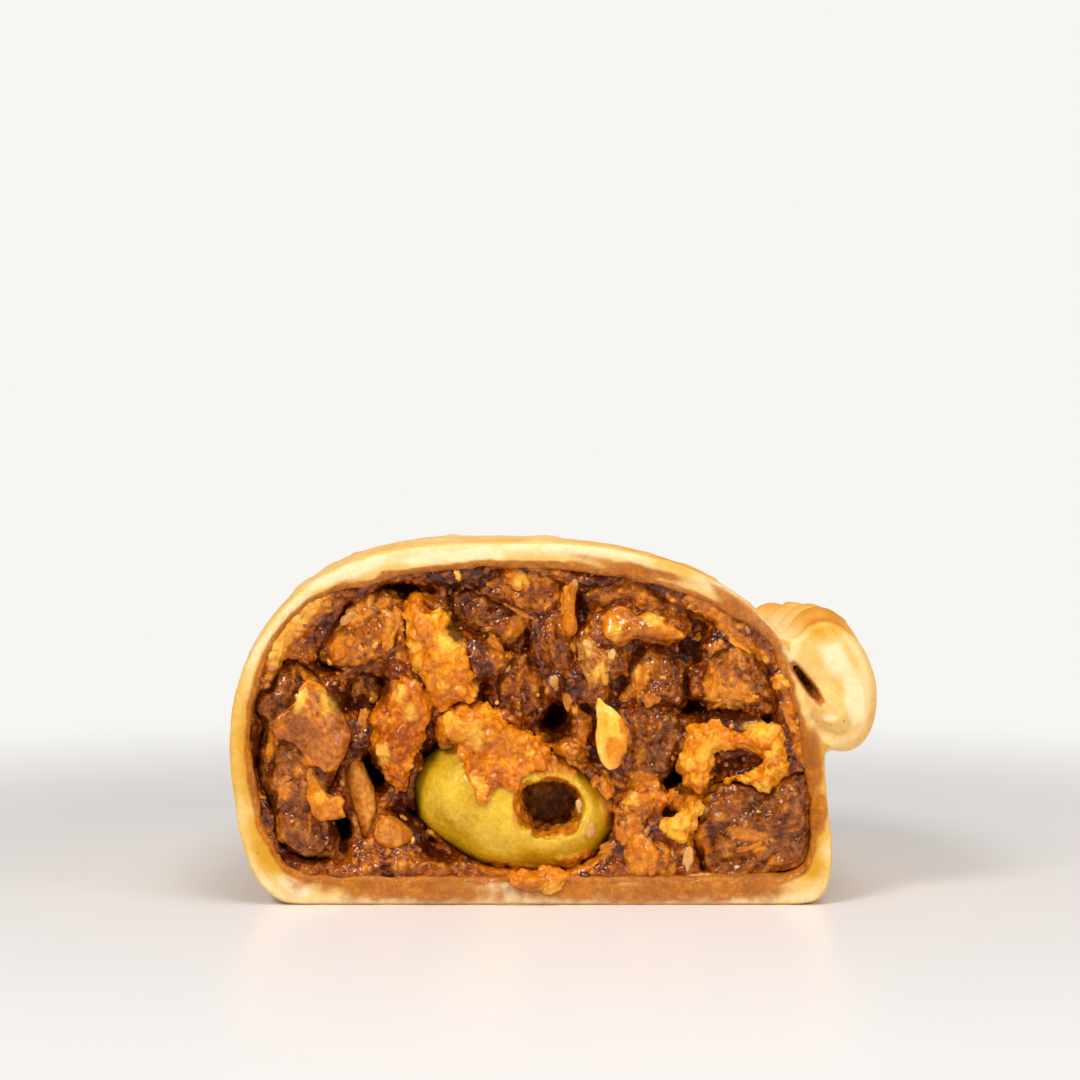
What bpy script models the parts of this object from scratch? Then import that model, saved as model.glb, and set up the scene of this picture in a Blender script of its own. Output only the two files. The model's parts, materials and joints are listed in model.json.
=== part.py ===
"""Half of a baked beef empanada, cut across its middle and lying on its flat underside.

The cut face looks along -Y, the folded side is at -X, and the rolled seam runs round the +X side
to the tip at +Y. The origin is the middle of the half's footprint, at the height of its underside.
Tables are in millimetres, the model in metres.
"""

import math
import random

import bmesh
import bpy
from mathutils import Matrix, Vector, noise

MM = 0.001

# The whole half: 75 wide with its seam, 72 deep and 42 high.
CUT_Y = -35.7
DEPTH = 72.0
HEIGHT = 42.0
TIP_HEIGHT = 14.0

# The crust's outline where it was cut, (x, z), from the left end of the flat base over the dome.
CUT_OUTLINE = [
    (-29.0, 0.0), (-31.6, 0.5), (-34.1, 2.9), (-36.0, 7.4), (-37.0, 13.0), (-37.4, 19.5), (-36.6, 25.3),
    (-34.0, 31.0), (-29.6, 35.9), (-23.6, 39.4), (-16.5, 41.3), (-8.0, 42.0), (2.0, 41.7), (11.0, 40.2),
    (18.6, 37.6), (24.4, 33.6), (28.4, 28.2), (30.6, 21.4), (31.7, 14.0), (32.5, 7.4), (32.1, 2.8),
    (30.8, 0.6), (28.4, 0.0),
]
LEFT, RIGHT = -37.4, 32.5
WIDTH, MIDDLE = RIGHT - LEFT, (LEFT + RIGHT) / 2
SPLITS_PER_SPAN = 2
BASE_SPLITS = 6
RINGS, INSIDE_RINGS = 12, 8

# How the outline shrinks towards the tip, seen from above and from the side.
PLAN_POWER, PLAN_ROUND = 2.3, 2.0
SIDE_POWER, SIDE_ROUND = 2.5, 2.3
FOLD_STRAIGHTNESS = 0.45
FLAT_SHARE = 0.62

# Soft unevenness of the baked dough: height and length of its waves, and where they fade out.
WAVE_HEIGHT, WAVE_LENGTH, WAVE_FADE = 0.8, 17.0, 8.0

# The crust's wall: left, right, bottom, top and tip. Pieces keep a gap to it and to each other.
WALL = (3.0, 2.8, 3.7, 3.3, 4.0)
GAP = 0.3
CLEARANCE = 0.35

# The rolled seam: folded lobes on a cord along the wall, each leaning over the next.
SEAM_AT_CUT = (30.2, 25.2)
SEAM_OUT, SEAM_OUT_AT_TIP = 2.2, -1.6
SEAM_END = 0.997
SEAM_STEPS = 200
SEAM_LEAN_IN = 0.34
CORD_RADIUS = 4.2
CORD_STEP = 16
LOBE_SPACING = 8.6
LOBE_HALF = (9.4, 6.4, 5.0)
LOBE_LEAN = math.radians(34.0)
LOBE_SIDES, LOBE_BANDS = 11, 6
TIP_SCALE = 0.66

# The slit between the wall and the roll of dough at the cut.
POCKET = {"x": 31.0, "z": 25.6, "half": (0.8, 6.0, 3.3), "tilt": -24.0}

# The stew behind the pieces: how far it lies behind the cut, and the bits fused on its front.
STEW_RECESS = 4.6
BIT_PITCH = 4.0
BIT_RADIUS = (1.2, 2.4)
BIT_SHAPE = (1.25, 1.6, 1.0)
BIT_FRONT = (0.6, 3.6)
BIT_SEED = 11
HIDDEN_SHARE = 0.85

# A slab in front of the cut, as wide as this share of the crust, into which pieces may reach.
SLAB_DEPTH, SLAB_SHARE = 8.0, 1.1

# Dark hollows between the pieces: x, z, half width, half height.
HOLLOWS = [
    (0.3, 21.6, 1.7, 1.9), (16.4, 22.6, 1.9, 1.1), (14.2, 14.6, 1.5, 2.2),
    (-24.6, 8.6, 1.4, 1.8), (-20.6, 15.2, 1.6, 2.8), (-17.6, 36.3, 2.6, 1.0), (-25.5, 28.2, 2.3, 1.3),
]
HOLLOW_DEPTH = 6.0

# Each food's colour and roughness.
FOODS = {
    "crust": ((0.86, 0.70, 0.43), 0.62),
    "stew": ((0.36, 0.13, 0.035), 0.35),
    "beef": ((0.24, 0.11, 0.055), 0.45),
    "egg": ((0.78, 0.38, 0.08), 0.40),
    "olive": ((0.50, 0.46, 0.07), 0.25),
    "onion": ((0.66, 0.36, 0.13), 0.28),
    "garlic": ((0.86, 0.60, 0.22), 0.35),
}

# Strips that bend, seen at the cut: food, (x, z) along it, half thickness, half depth, and how far
# its front lies behind the cut.
STRIPS = {
    "egg_curl": ("egg", [
        (15.9, 14.9), (15.4, 18.2), (17.2, 20.9), (20.8, 21.4), (24.4, 20.2), (26.0, 17.2), (24.2, 15.6), (21.4, 15.9),
    ], 1.55, 2.3, -0.8),
    "onion_strip": ("onion", [(12.6, 36.4), (16.4, 35.9), (19.6, 34.3), (22.2, 31.8), (24.4, 28.9)], 0.95, 3.0, 0.3),
}
STRIP_SPLITS = 2
STRIP_TAPER = 0.45

# Lumps: food, x, z, half width, half height, front behind the cut, half depth, clockwise tilt in
# degrees, squareness (2 is round, 4 is boxy) and how knobbly. Each is cut to clear those above it.
LUMPS = {
    "garlic_slice": ("garlic", 6.8, 19.8, 1.75, 4.2, -1.6, 0.9, 4, 2.0, 0.05),
    "egg_bit": ("egg", 15.2, 9.8, 2.7, 2.5, -0.9, 2.4, 12, 3.0, 0.16),
    "egg_bottom": ("egg", -1.5, 2.9, 3.9, 1.9, -2.0, 2.1, -6, 2.2, 0.18),
    "onion_wedge": ("onion", -26.6, 20.6, 3.8, 4.8, -1.6, 1.5, -38, 3.0, 0.08),
    "onion_flap": ("onion", -25.2, 13.3, 2.6, 2.3, -0.6, 1.2, 24, 3.0, 0.10),
    "onion_slice": ("onion", 10.7, 32.0, 4.9, 1.9, -0.4, 2.0, 8, 2.4, 0.10),
    "egg_top": ("egg", -12.9, 29.4, 3.9, 6.6, -1.0, 3.2, -20, 2.4, 0.12),
    "egg_left": ("egg", -17.4, 19.9, 3.2, 7.2, -0.6, 3.0, 8, 2.2, 0.16),
    "green_olive": ("olive", -4.6, 11.2, 12.2, 7.7, -1.4, 7.4, 14, 2.0, 0.0),
    "egg_over_olive": ("egg", -6.9, 20.0, 6.0, 4.0, -0.9, 4.0, 18, 2.4, 0.16),
    "beef_left": ("beef", -29.0, 16.6, 4.2, 11.3, 0.7, 6.5, -6, 2.8, 0.10),
    "beef_upper_left": ("beef", -22.0, 31.4, 4.8, 4.4, 1.6, 5.0, 12, 2.8, 0.12),
    "beef_lower_right": ("beef", 23.8, 9.4, 6.7, 5.7, 0.8, 7.0, -8, 3.4, 0.08),
    "beef_nubbly": ("beef", 4.9, 28.0, 2.3, 3.5, 0.2, 3.4, -8, 2.2, 0.16),
    "onion_thread": ("onion", 2.2, 34.4, 0.85, 3.2, 0.4, 1.1, 4, 2.2, 0.05),
    "beef_upper_right": ("beef", 21.8, 26.6, 5.1, 4.8, 1.2, 6.0, 6, 2.6, 0.10),
    "beef_bottom": ("beef", 11.4, 6.0, 3.3, 2.7, 0.3, 4.0, 0, 2.4, 0.14),
    "onion_dice": ("onion", -18.6, 8.1, 2.4, 1.9, 1.2, 2.4, 10, 3.0, 0.10),
    "onion_petal": ("onion", -22.0, 12.4, 1.5, 5.3, 2.2, 2.4, -10, 2.4, 0.05),
    "beef_mid_right": ("beef", 11.9, 18.4, 3.7, 4.3, 1.8, 5.0, -6, 2.6, 0.12),
    "beef_top_centre": ("beef", -3.0, 36.0, 5.4, 2.5, 1.2, 4.5, 8, 2.6, 0.12),
    "beef_top_right": ("beef", 8.6, 35.7, 4.6, 2.0, 1.8, 4.5, 6, 2.6, 0.12),
    "beef_centre": ("beef", 0.4, 30.6, 2.1, 3.7, 2.0, 4.0, 0, 2.2, 0.14),
    "beef_top_dark": ("beef", -7.2, 32.3, 6.4, 2.4, 2.8, 4.5, 33, 2.4, 0.08),
    "beef_middle": ("beef", -3.7, 25.6, 3.3, 3.4, 2.6, 4.5, 0, 2.8, 0.12),
    "beef_dark_right": ("beef", 12.0, 26.4, 3.7, 3.9, 2.8, 4.5, 10, 2.6, 0.08),
    "beef_low_left": ("beef", -21.9, 24.4, 2.8, 2.6, 4.0, 4.0, 0, 2.4, 0.12),
}

# Faces: subdivisions of lumps above this half width times half height, of the others and of bits.
LARGE_LUMP = 24.5
LARGE_DETAIL, SMALL_DETAIL, BIT_DETAIL = 3, 2, 1
COARSE_SHARE = 0.1

# The olive's hollow, where its stone was.
OLIVE_HOLLOW = {"x": 0.5, "z": 11.2, "half": (3.4, 9.0, 3.1)}


# ---------------------------------------------------------------- objects


def clear_scene():
    for obj in list(bpy.data.objects):
        bpy.data.objects.remove(obj, do_unlink=True)


def new_collection(name, hidden=False):
    collection = bpy.data.collections.new(name)
    bpy.context.scene.collection.children.link(collection)
    collection.hide_render = hidden
    return collection


def remove_collection(collection):
    for obj in list(collection.objects):
        bpy.data.objects.remove(obj)
    bpy.data.collections.remove(collection)


def new_material(name):
    colour, rough = FOODS[name]
    material = bpy.data.materials.new(name)
    material.use_nodes = True
    shader = material.node_tree.nodes["Principled BSDF"]
    shader.inputs["Base Color"].default_value = (*colour, 1.0)
    shader.inputs["Roughness"].default_value = rough
    shader.inputs["Metallic"].default_value = 0.0


def add_object(name, bm, collection):
    """An object from a bmesh in millimetres, with its faces pointing out."""
    bmesh.ops.recalc_face_normals(bm, faces=bm.faces)
    bmesh.ops.scale(bm, vec=(MM, MM, MM), verts=bm.verts)
    mesh = bpy.data.meshes.new(name)
    bm.to_mesh(mesh)
    bm.free()
    obj = bpy.data.objects.new(name, mesh)
    collection.objects.link(obj)
    return obj


def helper(obj):
    """Marks a cutter, which isn't part of the object."""
    obj.hide_render = True
    obj.display_type = "WIRE"
    return obj


def finish(obj, food):
    obj.data.materials.clear()
    obj.data.materials.append(bpy.data.materials[food])
    obj.data.shade_smooth()


# ---------------------------------------------------------------- joining and cutting


def apply_boolean(target, tool, operation, solver="EXACT"):
    """Joins or cuts target with tool, an object or a collection, and keeps the result as its mesh."""
    modifier = target.modifiers.new("boolean", "BOOLEAN")
    modifier.operation = operation
    modifier.solver = solver
    if isinstance(tool, bpy.types.Collection):
        modifier.operand_type = "COLLECTION"
        modifier.collection = tool
    else:
        modifier.object = tool
    depsgraph = bpy.context.evaluated_depsgraph_get()
    made = bpy.data.meshes.new_from_object(target.evaluated_get(depsgraph))
    target.modifiers.clear()
    target.data = made


def connected(start):
    """All faces that are joined to start."""
    found, todo = {start}, [start]
    while todo:
        face = todo.pop()
        for edge in face.edges:
            new = [other for other in edge.link_faces if other not in found]
            found.update(new)
            todo.extend(new)
    return found


def keep_largest(obj):
    """Keeps the largest body of a mesh and drops the loose scraps that a cut leaves."""
    bm = bmesh.new()
    bm.from_mesh(obj.data)
    bmesh.ops.triangulate(bm, faces=bm.faces)
    left, bodies = set(bm.faces), []
    while left:
        bodies.append(connected(next(iter(left))))
        left -= bodies[-1]
    largest = max(bodies, key=lambda body: sum(face.calc_area() for face in body))
    loose = [face for face in bm.faces if face not in largest]
    bmesh.ops.delete(bm, geom=loose, context="FACES")
    bm.to_mesh(obj.data)
    bm.free()


def boxes_meet(a, b):
    """Whether two objects' boxes overlap."""
    corners = [[obj.matrix_world @ Vector(corner) for corner in obj.bound_box] for obj in (a, b)]
    (low_a, high_a), (low_b, high_b) = [
        ([min(c[k] for c in box) for k in range(3)], [max(c[k] for c in box) for k in range(3)])
        for box in corners
    ]
    return all(low_a[k] < high_b[k] and low_b[k] < high_a[k] for k in range(3))


# ---------------------------------------------------------------- the crust's form


def smooth_through(points, splits):
    """Points along a Catmull-Rom curve through the given (x, z) points, both ends included."""
    ends = [points[0], *points, points[-1]]
    curve = []
    for quad in zip(ends, ends[1:], ends[2:], ends[3:]):
        for step in range(splits):
            u = step / splits
            curve.append(tuple(
                b + 0.5 * u * (c - a + u * (2 * a - 5 * b + 4 * c - d + u * (3 * b - a - 3 * c + d)))
                for a, b, c, d in zip(*quad)
            ))
    return [*curve, points[-1]]


def cut_section():
    """The closed outline at the cut: over the dome from left to right, then back along the flat base."""
    dome = [(x, max(z, 0.0)) for x, z in smooth_through(CUT_OUTLINE, SPLITS_PER_SPAN)]
    start, end = CUT_OUTLINE[-1][0], CUT_OUTLINE[0][0]
    base = [(start + (end - start) * k / BASE_SPLITS, 0.0) for k in range(1, BASE_SPLITS)]
    return dome + base


def at_depth(x, z, share, walls=(0, 0, 0, 0, 0)):
    """Where a point of the cut outline lies at a share of the depth, moved inwards by the walls."""
    left, right, bottom, top, tip = walls
    spread = (1 - share**PLAN_POWER) ** (1 / PLAN_ROUND)
    centre = MIDDLE - FOLD_STRAIGHTNESS * WIDTH / 2 * (1 - spread)
    across = (x - MIDDLE) * spread * (1 - (left + right) / WIDTH)
    high = TIP_HEIGHT + (HEIGHT - TIP_HEIGHT) * (1 - share**SIDE_POWER) ** (1 / SIDE_ROUND)
    lifted = max(0.0, (share - FLAT_SHARE) / (1 - FLAT_SHARE))
    low = TIP_HEIGHT * (1 - math.sqrt(1 - lifted**2))
    up = (z / HEIGHT - 0.5) * (high - low) * (1 - (bottom + top) / HEIGHT)
    return Vector((
        centre + (left - right) / 2 + across,
        CUT_Y + (DEPTH - tip) * share,
        (high + low) / 2 + (bottom - top) / 2 + up,
    ))


def waved(point):
    """A point of the outer form moved by the dough's soft waves, which fade out at the flat underside."""
    swell = WAVE_HEIGHT * min(1.0, point.z / WAVE_FADE) * noise.noise(point / WAVE_LENGTH)
    out = Vector((point.x / RIGHT, 0.0, (point.z - TIP_HEIGHT) / HEIGHT))
    return point + out.normalized() * swell


def form_rings(walls, front, count):
    """Sections of the form, or of the room inside its walls, from front mm behind the cut to the tip."""
    section = cut_section()
    rings = []
    for k in range(count):
        share = math.sin(math.pi / 2 * k / count)
        ring = [at_depth(x, z, share, walls) if walls else waved(at_depth(x, z, share)) for x, z in section]
        if k == 0:
            ring = [Vector((p.x, CUT_Y + front, p.z)) for p in ring]
        rings.append(ring)
    tip = at_depth(0.0, 0.0, 1.0, walls) if walls else at_depth(0.0, 0.0, 1.0)
    return rings, tip


def slab_rings():
    """Two sections, larger than the crust, that make the form reach out in front of the cut."""
    middle = Vector((MIDDLE, 0.0, HEIGHT / 2))
    wide = [middle + (Vector((x, 0.0, z)) - middle) * SLAB_SHARE for x, z in cut_section()]
    return [[Vector((p.x, CUT_Y - away, p.z)) for p in wide] for away in (SLAB_DEPTH, GAP)]


def loft(name, collection, rings, tip):
    """A closed solid through rings of points, with a flat front and a point at the back."""
    bm = bmesh.new()
    loops = [[bm.verts.new(point) for point in ring] for ring in rings]
    sides = len(rings[0])
    for near, far in zip(loops, loops[1:]):
        for k in range(sides):
            bm.faces.new((near[k], near[k - 1], far[k - 1], far[k]))
    pole = bm.verts.new(tip)
    for k in range(sides):
        bm.faces.new((loops[-1][k], loops[-1][k - 1], pole))
    bm.faces.new(loops[0])
    bmesh.ops.triangulate(bm, faces=bm.faces)
    return add_object(name, bm, collection)


def inner_walls(extra=0.0):
    return [wall + extra for wall in WALL]


# ---------------------------------------------------------------- lumps and tubes


def lump(name, collection, x, z, half, front, tilt=0.0, square=2.0, knobbly=0.0, grow=0.0, detail=2):
    """A closed, uneven piece whose front lies so far behind the cut, tilted in the plane of the cut."""
    bm = bmesh.new()
    bmesh.ops.create_icosphere(bm, subdivisions=detail, radius=1.0)
    shift = Vector((x, half[1], z))
    for vert in bm.verts:
        way = vert.co.normalized()
        size = sum(abs(part) ** square for part in way) ** (-1 / square)
        size *= 1 + knobbly * (noise.noise(way * 1.5 + shift) + 0.6 * noise.noise(way * 3.4 - shift))
        across = Vector(way[k] / half[k] for k in range(3)).normalized()
        vert.co = Vector(way[k] * size * half[k] for k in range(3)) + across * grow
    obj = add_object(name, bm, collection)
    obj.location = Vector((x, CUT_Y + front + half[1], z)) * MM
    obj.rotation_euler.y = math.radians(tilt)
    return obj


def tube(name, collection, points, radii, flatten=1.0):
    """A closed tube along points, with a radius at each, made flatten times as deep along Y."""
    curve = bpy.data.curves.new(name, "CURVE")
    curve.dimensions = "3D"
    curve.bevel_depth = 1.0
    curve.bevel_resolution = 2
    curve.use_fill_caps = True
    spline = curve.splines.new("POLY")
    spline.points.add(len(points) - 1)
    for spot, point, radius in zip(spline.points, points, radii):
        spot.co = (*point, 1.0)
        spot.radius = radius
    guide = bpy.data.objects.new(name, curve)
    collection.objects.link(guide)
    mesh = bpy.data.meshes.new_from_object(guide.evaluated_get(bpy.context.evaluated_depsgraph_get()))
    bpy.data.objects.remove(guide)
    bm = bmesh.new()
    bm.from_mesh(mesh)
    bmesh.ops.remove_doubles(bm, verts=bm.verts, dist=0.01)
    if flatten != 1.0:
        bmesh.ops.translate(bm, vec=(0.0, -points[0][1], 0.0), verts=bm.verts)
        bmesh.ops.scale(bm, vec=(1.0, flatten, 1.0), verts=bm.verts)
        bmesh.ops.translate(bm, vec=(0.0, points[0][1], 0.0), verts=bm.verts)
    return add_object(name, bm, collection)


# ---------------------------------------------------------------- the pieces of the filling


def make_strip(name, collection, grow, prefix):
    _, path, thick, deep, front = STRIPS[name]
    line = smooth_through(path, STRIP_SPLITS)
    points = [Vector((x, CUT_Y + front + deep, z)) for x, z in line]
    ends = [abs(2 * k / (len(line) - 1) - 1) ** 3 for k in range(len(line))]
    radii = [thick * (1 - STRIP_TAPER * end) + grow for end in ends]
    return tube(prefix + name, collection, points, radii, (deep + grow) / (thick + grow))


def make_piece(name, collection, grow=0.0, prefix="", coarse=False):
    """One piece, grown by grow mm. A coarse one has few faces, and is grown by what they leave out."""
    if name in STRIPS:
        return make_strip(name, collection, grow, prefix)
    _, x, z, wide, high, front, deep, tilt, square, knobbly = LUMPS[name]
    large = wide * high > LARGE_LUMP
    if large and coarse:
        grow += COARSE_SHARE * max(wide, high)
    detail = LARGE_DETAIL if large and not coarse else SMALL_DETAIL
    return lump(prefix + name, collection, x, z, (wide, deep, high), front, tilt, square, knobbly, grow, detail)


def build_pieces(parts, cutters):
    """Makes every piece clear of the crust and of the pieces before it."""
    walls = inner_walls(GAP)
    rings, tip = form_rings(walls, -GAP, INSIDE_RINGS)
    room = helper(loft("room", cutters, slab_rings() + rings, tip))
    half = OLIVE_HOLLOW["half"]
    hollow = helper(lump("olive_hollow", cutters, OLIVE_HOLLOW["x"], OLIVE_HOLLOW["z"], half, -half[1]))
    cleared = []
    for name in [*STRIPS, *LUMPS]:
        piece = make_piece(name, parts)
        apply_boolean(piece, room, "INTERSECT")
        if name == "green_olive":
            apply_boolean(piece, hollow, "DIFFERENCE")
        for other in cleared:
            if boxes_meet(piece, other):
                apply_boolean(piece, other, "DIFFERENCE")
        keep_largest(piece)
        finish(piece, {**STRIPS, **LUMPS}[name][0])
        cleared.append(helper(make_piece(name, cutters, CLEARANCE, "clear_")))


# ---------------------------------------------------------------- the stew


def inside_walls(x, z, margin):
    """Whether (x, z) lies inside the crust's inner wall at the cut, by at least margin mm."""
    ring = [at_depth(a, b, 0.0, inner_walls(margin)) for a, b in cut_section()]
    crossings = 0
    for p, q in zip(ring, ring[1:] + ring[:1]):
        if (p.z > z) != (q.z > z) and x < (q.x - p.x) * (z - p.z) / (q.z - p.z) + p.x:
            crossings += 1
    return crossings % 2 == 1


def behind_lump(x, z):
    """Whether (x, z) is so well inside a lump, seen at the cut, that what lies there is hidden."""
    for _, middle_x, middle_z, wide, high, _, _, tilt, *_ in LUMPS.values():
        turn = math.radians(tilt)
        across = (x - middle_x) * math.cos(turn) - (z - middle_z) * math.sin(turn)
        up = (x - middle_x) * math.sin(turn) + (z - middle_z) * math.cos(turn)
        if math.hypot(across / wide, up / high) < HIDDEN_SHARE:
            return True
    return False


def build_bits():
    """Small bits of mince and onion, spread evenly over the front of the stew where it shows."""
    bits = new_collection("stew_bits", hidden=True)
    draw = random.Random(BIT_SEED)
    columns, rows = int(WIDTH / BIT_PITCH) + 1, int(HEIGHT / BIT_PITCH) + 1
    for column in range(columns):
        for row in range(rows):
            x = LEFT + (column + 0.5 * (row % 2) + draw.uniform(-0.3, 0.3)) * BIT_PITCH
            z = (row + draw.uniform(-0.3, 0.3)) * BIT_PITCH
            radius = draw.uniform(*BIT_RADIUS)
            front, tilt = draw.uniform(*BIT_FRONT), draw.uniform(0, 180)
            if behind_lump(x, z) or not inside_walls(x, z, radius * 1.5 + 0.6):
                continue
            half = [radius * share for share in BIT_SHAPE]
            name = f"bit_{column}_{row}"
            helper(lump(name, bits, x, z, half, front, tilt, 2.4, 0.12, detail=BIT_DETAIL))
    return bits


def build_stew(parts, cutters):
    """The sauce and mince that fill the crust to its tip, clear of the pieces that show at the cut."""
    rings, tip = form_rings(inner_walls(GAP), STEW_RECESS, INSIDE_RINGS)
    stew = loft("stew", parts, rings, tip)
    bits = build_bits()
    apply_boolean(stew, bits, "UNION", "MANIFOLD")
    remove_collection(bits)
    tools = []
    for k, (x, z, wide, high) in enumerate(HOLLOWS):
        half = (wide, HOLLOW_DEPTH, high)
        tools.append(helper(lump(f"hollow_{k}", cutters, x, z, half, STEW_RECESS - HOLLOW_DEPTH)))
    for name in [*STRIPS, *LUMPS]:
        tools.append(helper(make_piece(name, cutters, CLEARANCE, "room_for_", coarse=True)))
    for tool in tools:
        apply_boolean(stew, tool, "DIFFERENCE", "MANIFOLD")
    keep_largest(stew)
    finish(stew, "stew")


# ---------------------------------------------------------------- the crust


def seam_frames():
    """Steps along the seam to the tip: how far along, the point, and the ways along, up and out."""
    shares = [SEAM_END * math.sin(math.pi / 2 * k / SEAM_STEPS) for k in range(SEAM_STEPS + 1)]
    points = [at_depth(*SEAM_AT_CUT, share) for share in shares]
    frames, walked = [], 0.0
    for k in range(1, SEAM_STEPS):
        along = (points[k + 1] - points[k - 1]).normalized()
        upright = Vector((-SEAM_LEAN_IN * (1 - k / SEAM_STEPS), 0.0, 1.0))
        out = along.cross(upright).normalized()
        walked += (points[k] - points[k - 1]).length
        frames.append((walked, points[k], along, out.cross(along), out))
    return frames


def build_seam():
    """The folded lobes of the rolled edge, each leaning over the next, on their cord of dough."""
    seam = new_collection("seam_lobes", hidden=True)
    frames = seam_frames()
    length = frames[-1][0]
    sizes = [1 - (1 - TIP_SCALE) * (walked / length) ** 2 for walked, *_ in frames]
    sunk = [SEAM_OUT + (SEAM_OUT_AT_TIP - SEAM_OUT) * (walked / length) ** 3 for walked, *_ in frames]
    centres = [point + out * away for (_, point, _, _, out), away in zip(frames, sunk)]
    radii = [CORD_RADIUS * size for size in sizes]
    helper(tube("seam_cord", seam, centres[::CORD_STEP], radii[::CORD_STEP]))
    count = round(length / LOBE_SPACING)
    for k in range(count + 1):
        nearest = min(range(len(frames)), key=lambda step: abs(frames[step][0] - length * k / count))
        _, _, along, up, out = frames[nearest]
        long_way = up * math.cos(LOBE_LEAN) - along * math.sin(LOBE_LEAN)
        short_way = along * math.cos(LOBE_LEAN) + up * math.sin(LOBE_LEAN)
        turn = Matrix((long_way, short_way, out)).transposed().to_4x4()
        size = Matrix.Diagonal((*[half * sizes[nearest] for half in LOBE_HALF], 1.0))
        bm = bmesh.new()
        bmesh.ops.create_uvsphere(bm, u_segments=LOBE_SIDES, v_segments=LOBE_BANDS, radius=1.0)
        bmesh.ops.transform(bm, matrix=Matrix.Translation(centres[nearest]) @ turn @ size, verts=bm.verts)
        helper(add_object(f"seam_lobe_{k}", bm, seam))
    return seam


def build_crust(parts, cutters):
    """The dough: one shell, folded over, with its rolled seam, cut flat at the front."""
    in_front = 5.0
    crust = loft("crust", parts, *form_rings(None, -in_front, RINGS))
    seam = build_seam()
    apply_boolean(crust, seam, "UNION")
    remove_collection(seam)
    cavity = helper(loft("cavity", cutters, *form_rings(inner_walls(), -2 * in_front, RINGS)))
    apply_boolean(crust, cavity, "DIFFERENCE")
    block = bmesh.new()
    bmesh.ops.create_cube(block, size=2 * WIDTH)
    knife = helper(add_object("knife", block, cutters))
    knife.location.y = (CUT_Y - WIDTH) * MM
    apply_boolean(crust, knife, "DIFFERENCE")
    half = POCKET["half"]
    pocket = helper(lump("pocket", cutters, POCKET["x"], POCKET["z"], half, -half[1], POCKET["tilt"]))
    apply_boolean(crust, pocket, "DIFFERENCE")
    keep_largest(crust)
    finish(crust, "crust")
    crust.data.set_sharp_from_angle(angle=math.radians(50))


def main():
    clear_scene()
    for name in FOODS:
        new_material(name)
    parts = new_collection("empanada_half")
    cutters = new_collection("cutters", hidden=True)
    build_crust(parts, cutters)
    build_pieces(parts, cutters)
    build_stew(parts, cutters)


main()
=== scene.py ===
"""The looks of half a beef empanada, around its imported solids.

Every piece of the filling starts from its own solid, which is turned into a field of distances, given the
outline that the photograph shows at the cut, meshed finely and given its grain. The stew fills the gaps
between the pieces. The crust repeats the solid's form at a finer step, with a modelled seam. Lengths here
are in millimetres.
"""

import bisect
import itertools
import json
import math
import random

import bmesh
import bpy
import numpy as np
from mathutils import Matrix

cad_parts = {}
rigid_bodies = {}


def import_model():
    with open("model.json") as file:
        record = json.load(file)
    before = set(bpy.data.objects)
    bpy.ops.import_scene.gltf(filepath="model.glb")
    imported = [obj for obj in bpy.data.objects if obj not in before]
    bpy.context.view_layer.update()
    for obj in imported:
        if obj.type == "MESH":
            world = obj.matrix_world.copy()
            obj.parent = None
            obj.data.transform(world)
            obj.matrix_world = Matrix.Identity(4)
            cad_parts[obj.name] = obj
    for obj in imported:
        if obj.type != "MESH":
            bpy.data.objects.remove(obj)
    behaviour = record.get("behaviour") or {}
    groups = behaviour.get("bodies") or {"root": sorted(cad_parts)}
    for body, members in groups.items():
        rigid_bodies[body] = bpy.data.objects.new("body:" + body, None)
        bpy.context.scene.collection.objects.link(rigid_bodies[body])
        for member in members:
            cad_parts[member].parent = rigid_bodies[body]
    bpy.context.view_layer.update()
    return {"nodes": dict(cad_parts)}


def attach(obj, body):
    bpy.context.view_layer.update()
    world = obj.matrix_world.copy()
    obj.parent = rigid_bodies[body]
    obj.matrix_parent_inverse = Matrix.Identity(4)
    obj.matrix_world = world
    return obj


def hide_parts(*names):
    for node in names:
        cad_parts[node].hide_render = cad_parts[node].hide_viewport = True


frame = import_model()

import openvdb
from mathutils import Matrix, Vector, noise
from mathutils.bvhtree import BVHTree
from mathutils.kdtree import KDTree

MM = 0.001

# The photograph: its width in pixels, mm per pixel at the cut, the column and row where x and z are 0,
# and its view.
PHOTO_SIZE = 1080
PIXEL = 0.115
ZERO_COLUMN, ZERO_ROW = 552, 908
CAMERA_LENS, SENSOR = 120.0, 36.0
CAMERA_UP = math.radians(3.0)

# The crust's form, as in the solid.
CUT_Y = -35.7
DEPTH = 72.0
HEIGHT = 42.0
TIP_HEIGHT = 14.0
CUT_OUTLINE = [
    (-29.0, 0.0), (-31.6, 0.5), (-34.1, 2.9), (-36.0, 7.4), (-37.0, 13.0), (-37.4, 19.5), (-36.6, 25.3),
    (-34.0, 31.0), (-29.6, 35.9), (-23.6, 39.4), (-16.5, 41.3), (-8.0, 42.0), (2.0, 41.7), (11.0, 40.2),
    (18.6, 37.6), (24.4, 33.6), (28.4, 28.2), (30.6, 21.4), (31.7, 14.0), (32.5, 7.4), (32.1, 2.8),
    (30.8, 0.6), (28.4, 0.0),
]
LEFT, RIGHT = -37.4, 32.5
WIDTH, MIDDLE = RIGHT - LEFT, (LEFT + RIGHT) / 2
PLAN_POWER, PLAN_ROUND = 2.3, 2.0
SIDE_POWER, SIDE_ROUND = 2.5, 2.3
FOLD_STRAIGHTNESS = 0.45
FLAT_SHARE = 0.62
WAVE_HEIGHT, WAVE_LENGTH, WAVE_FADE = 0.8, 17.0, 8.0
WALL = (3.0, 2.8, 3.7, 3.3, 4.0)
SPLITS_PER_SPAN = 5
RINGS = 44

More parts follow.
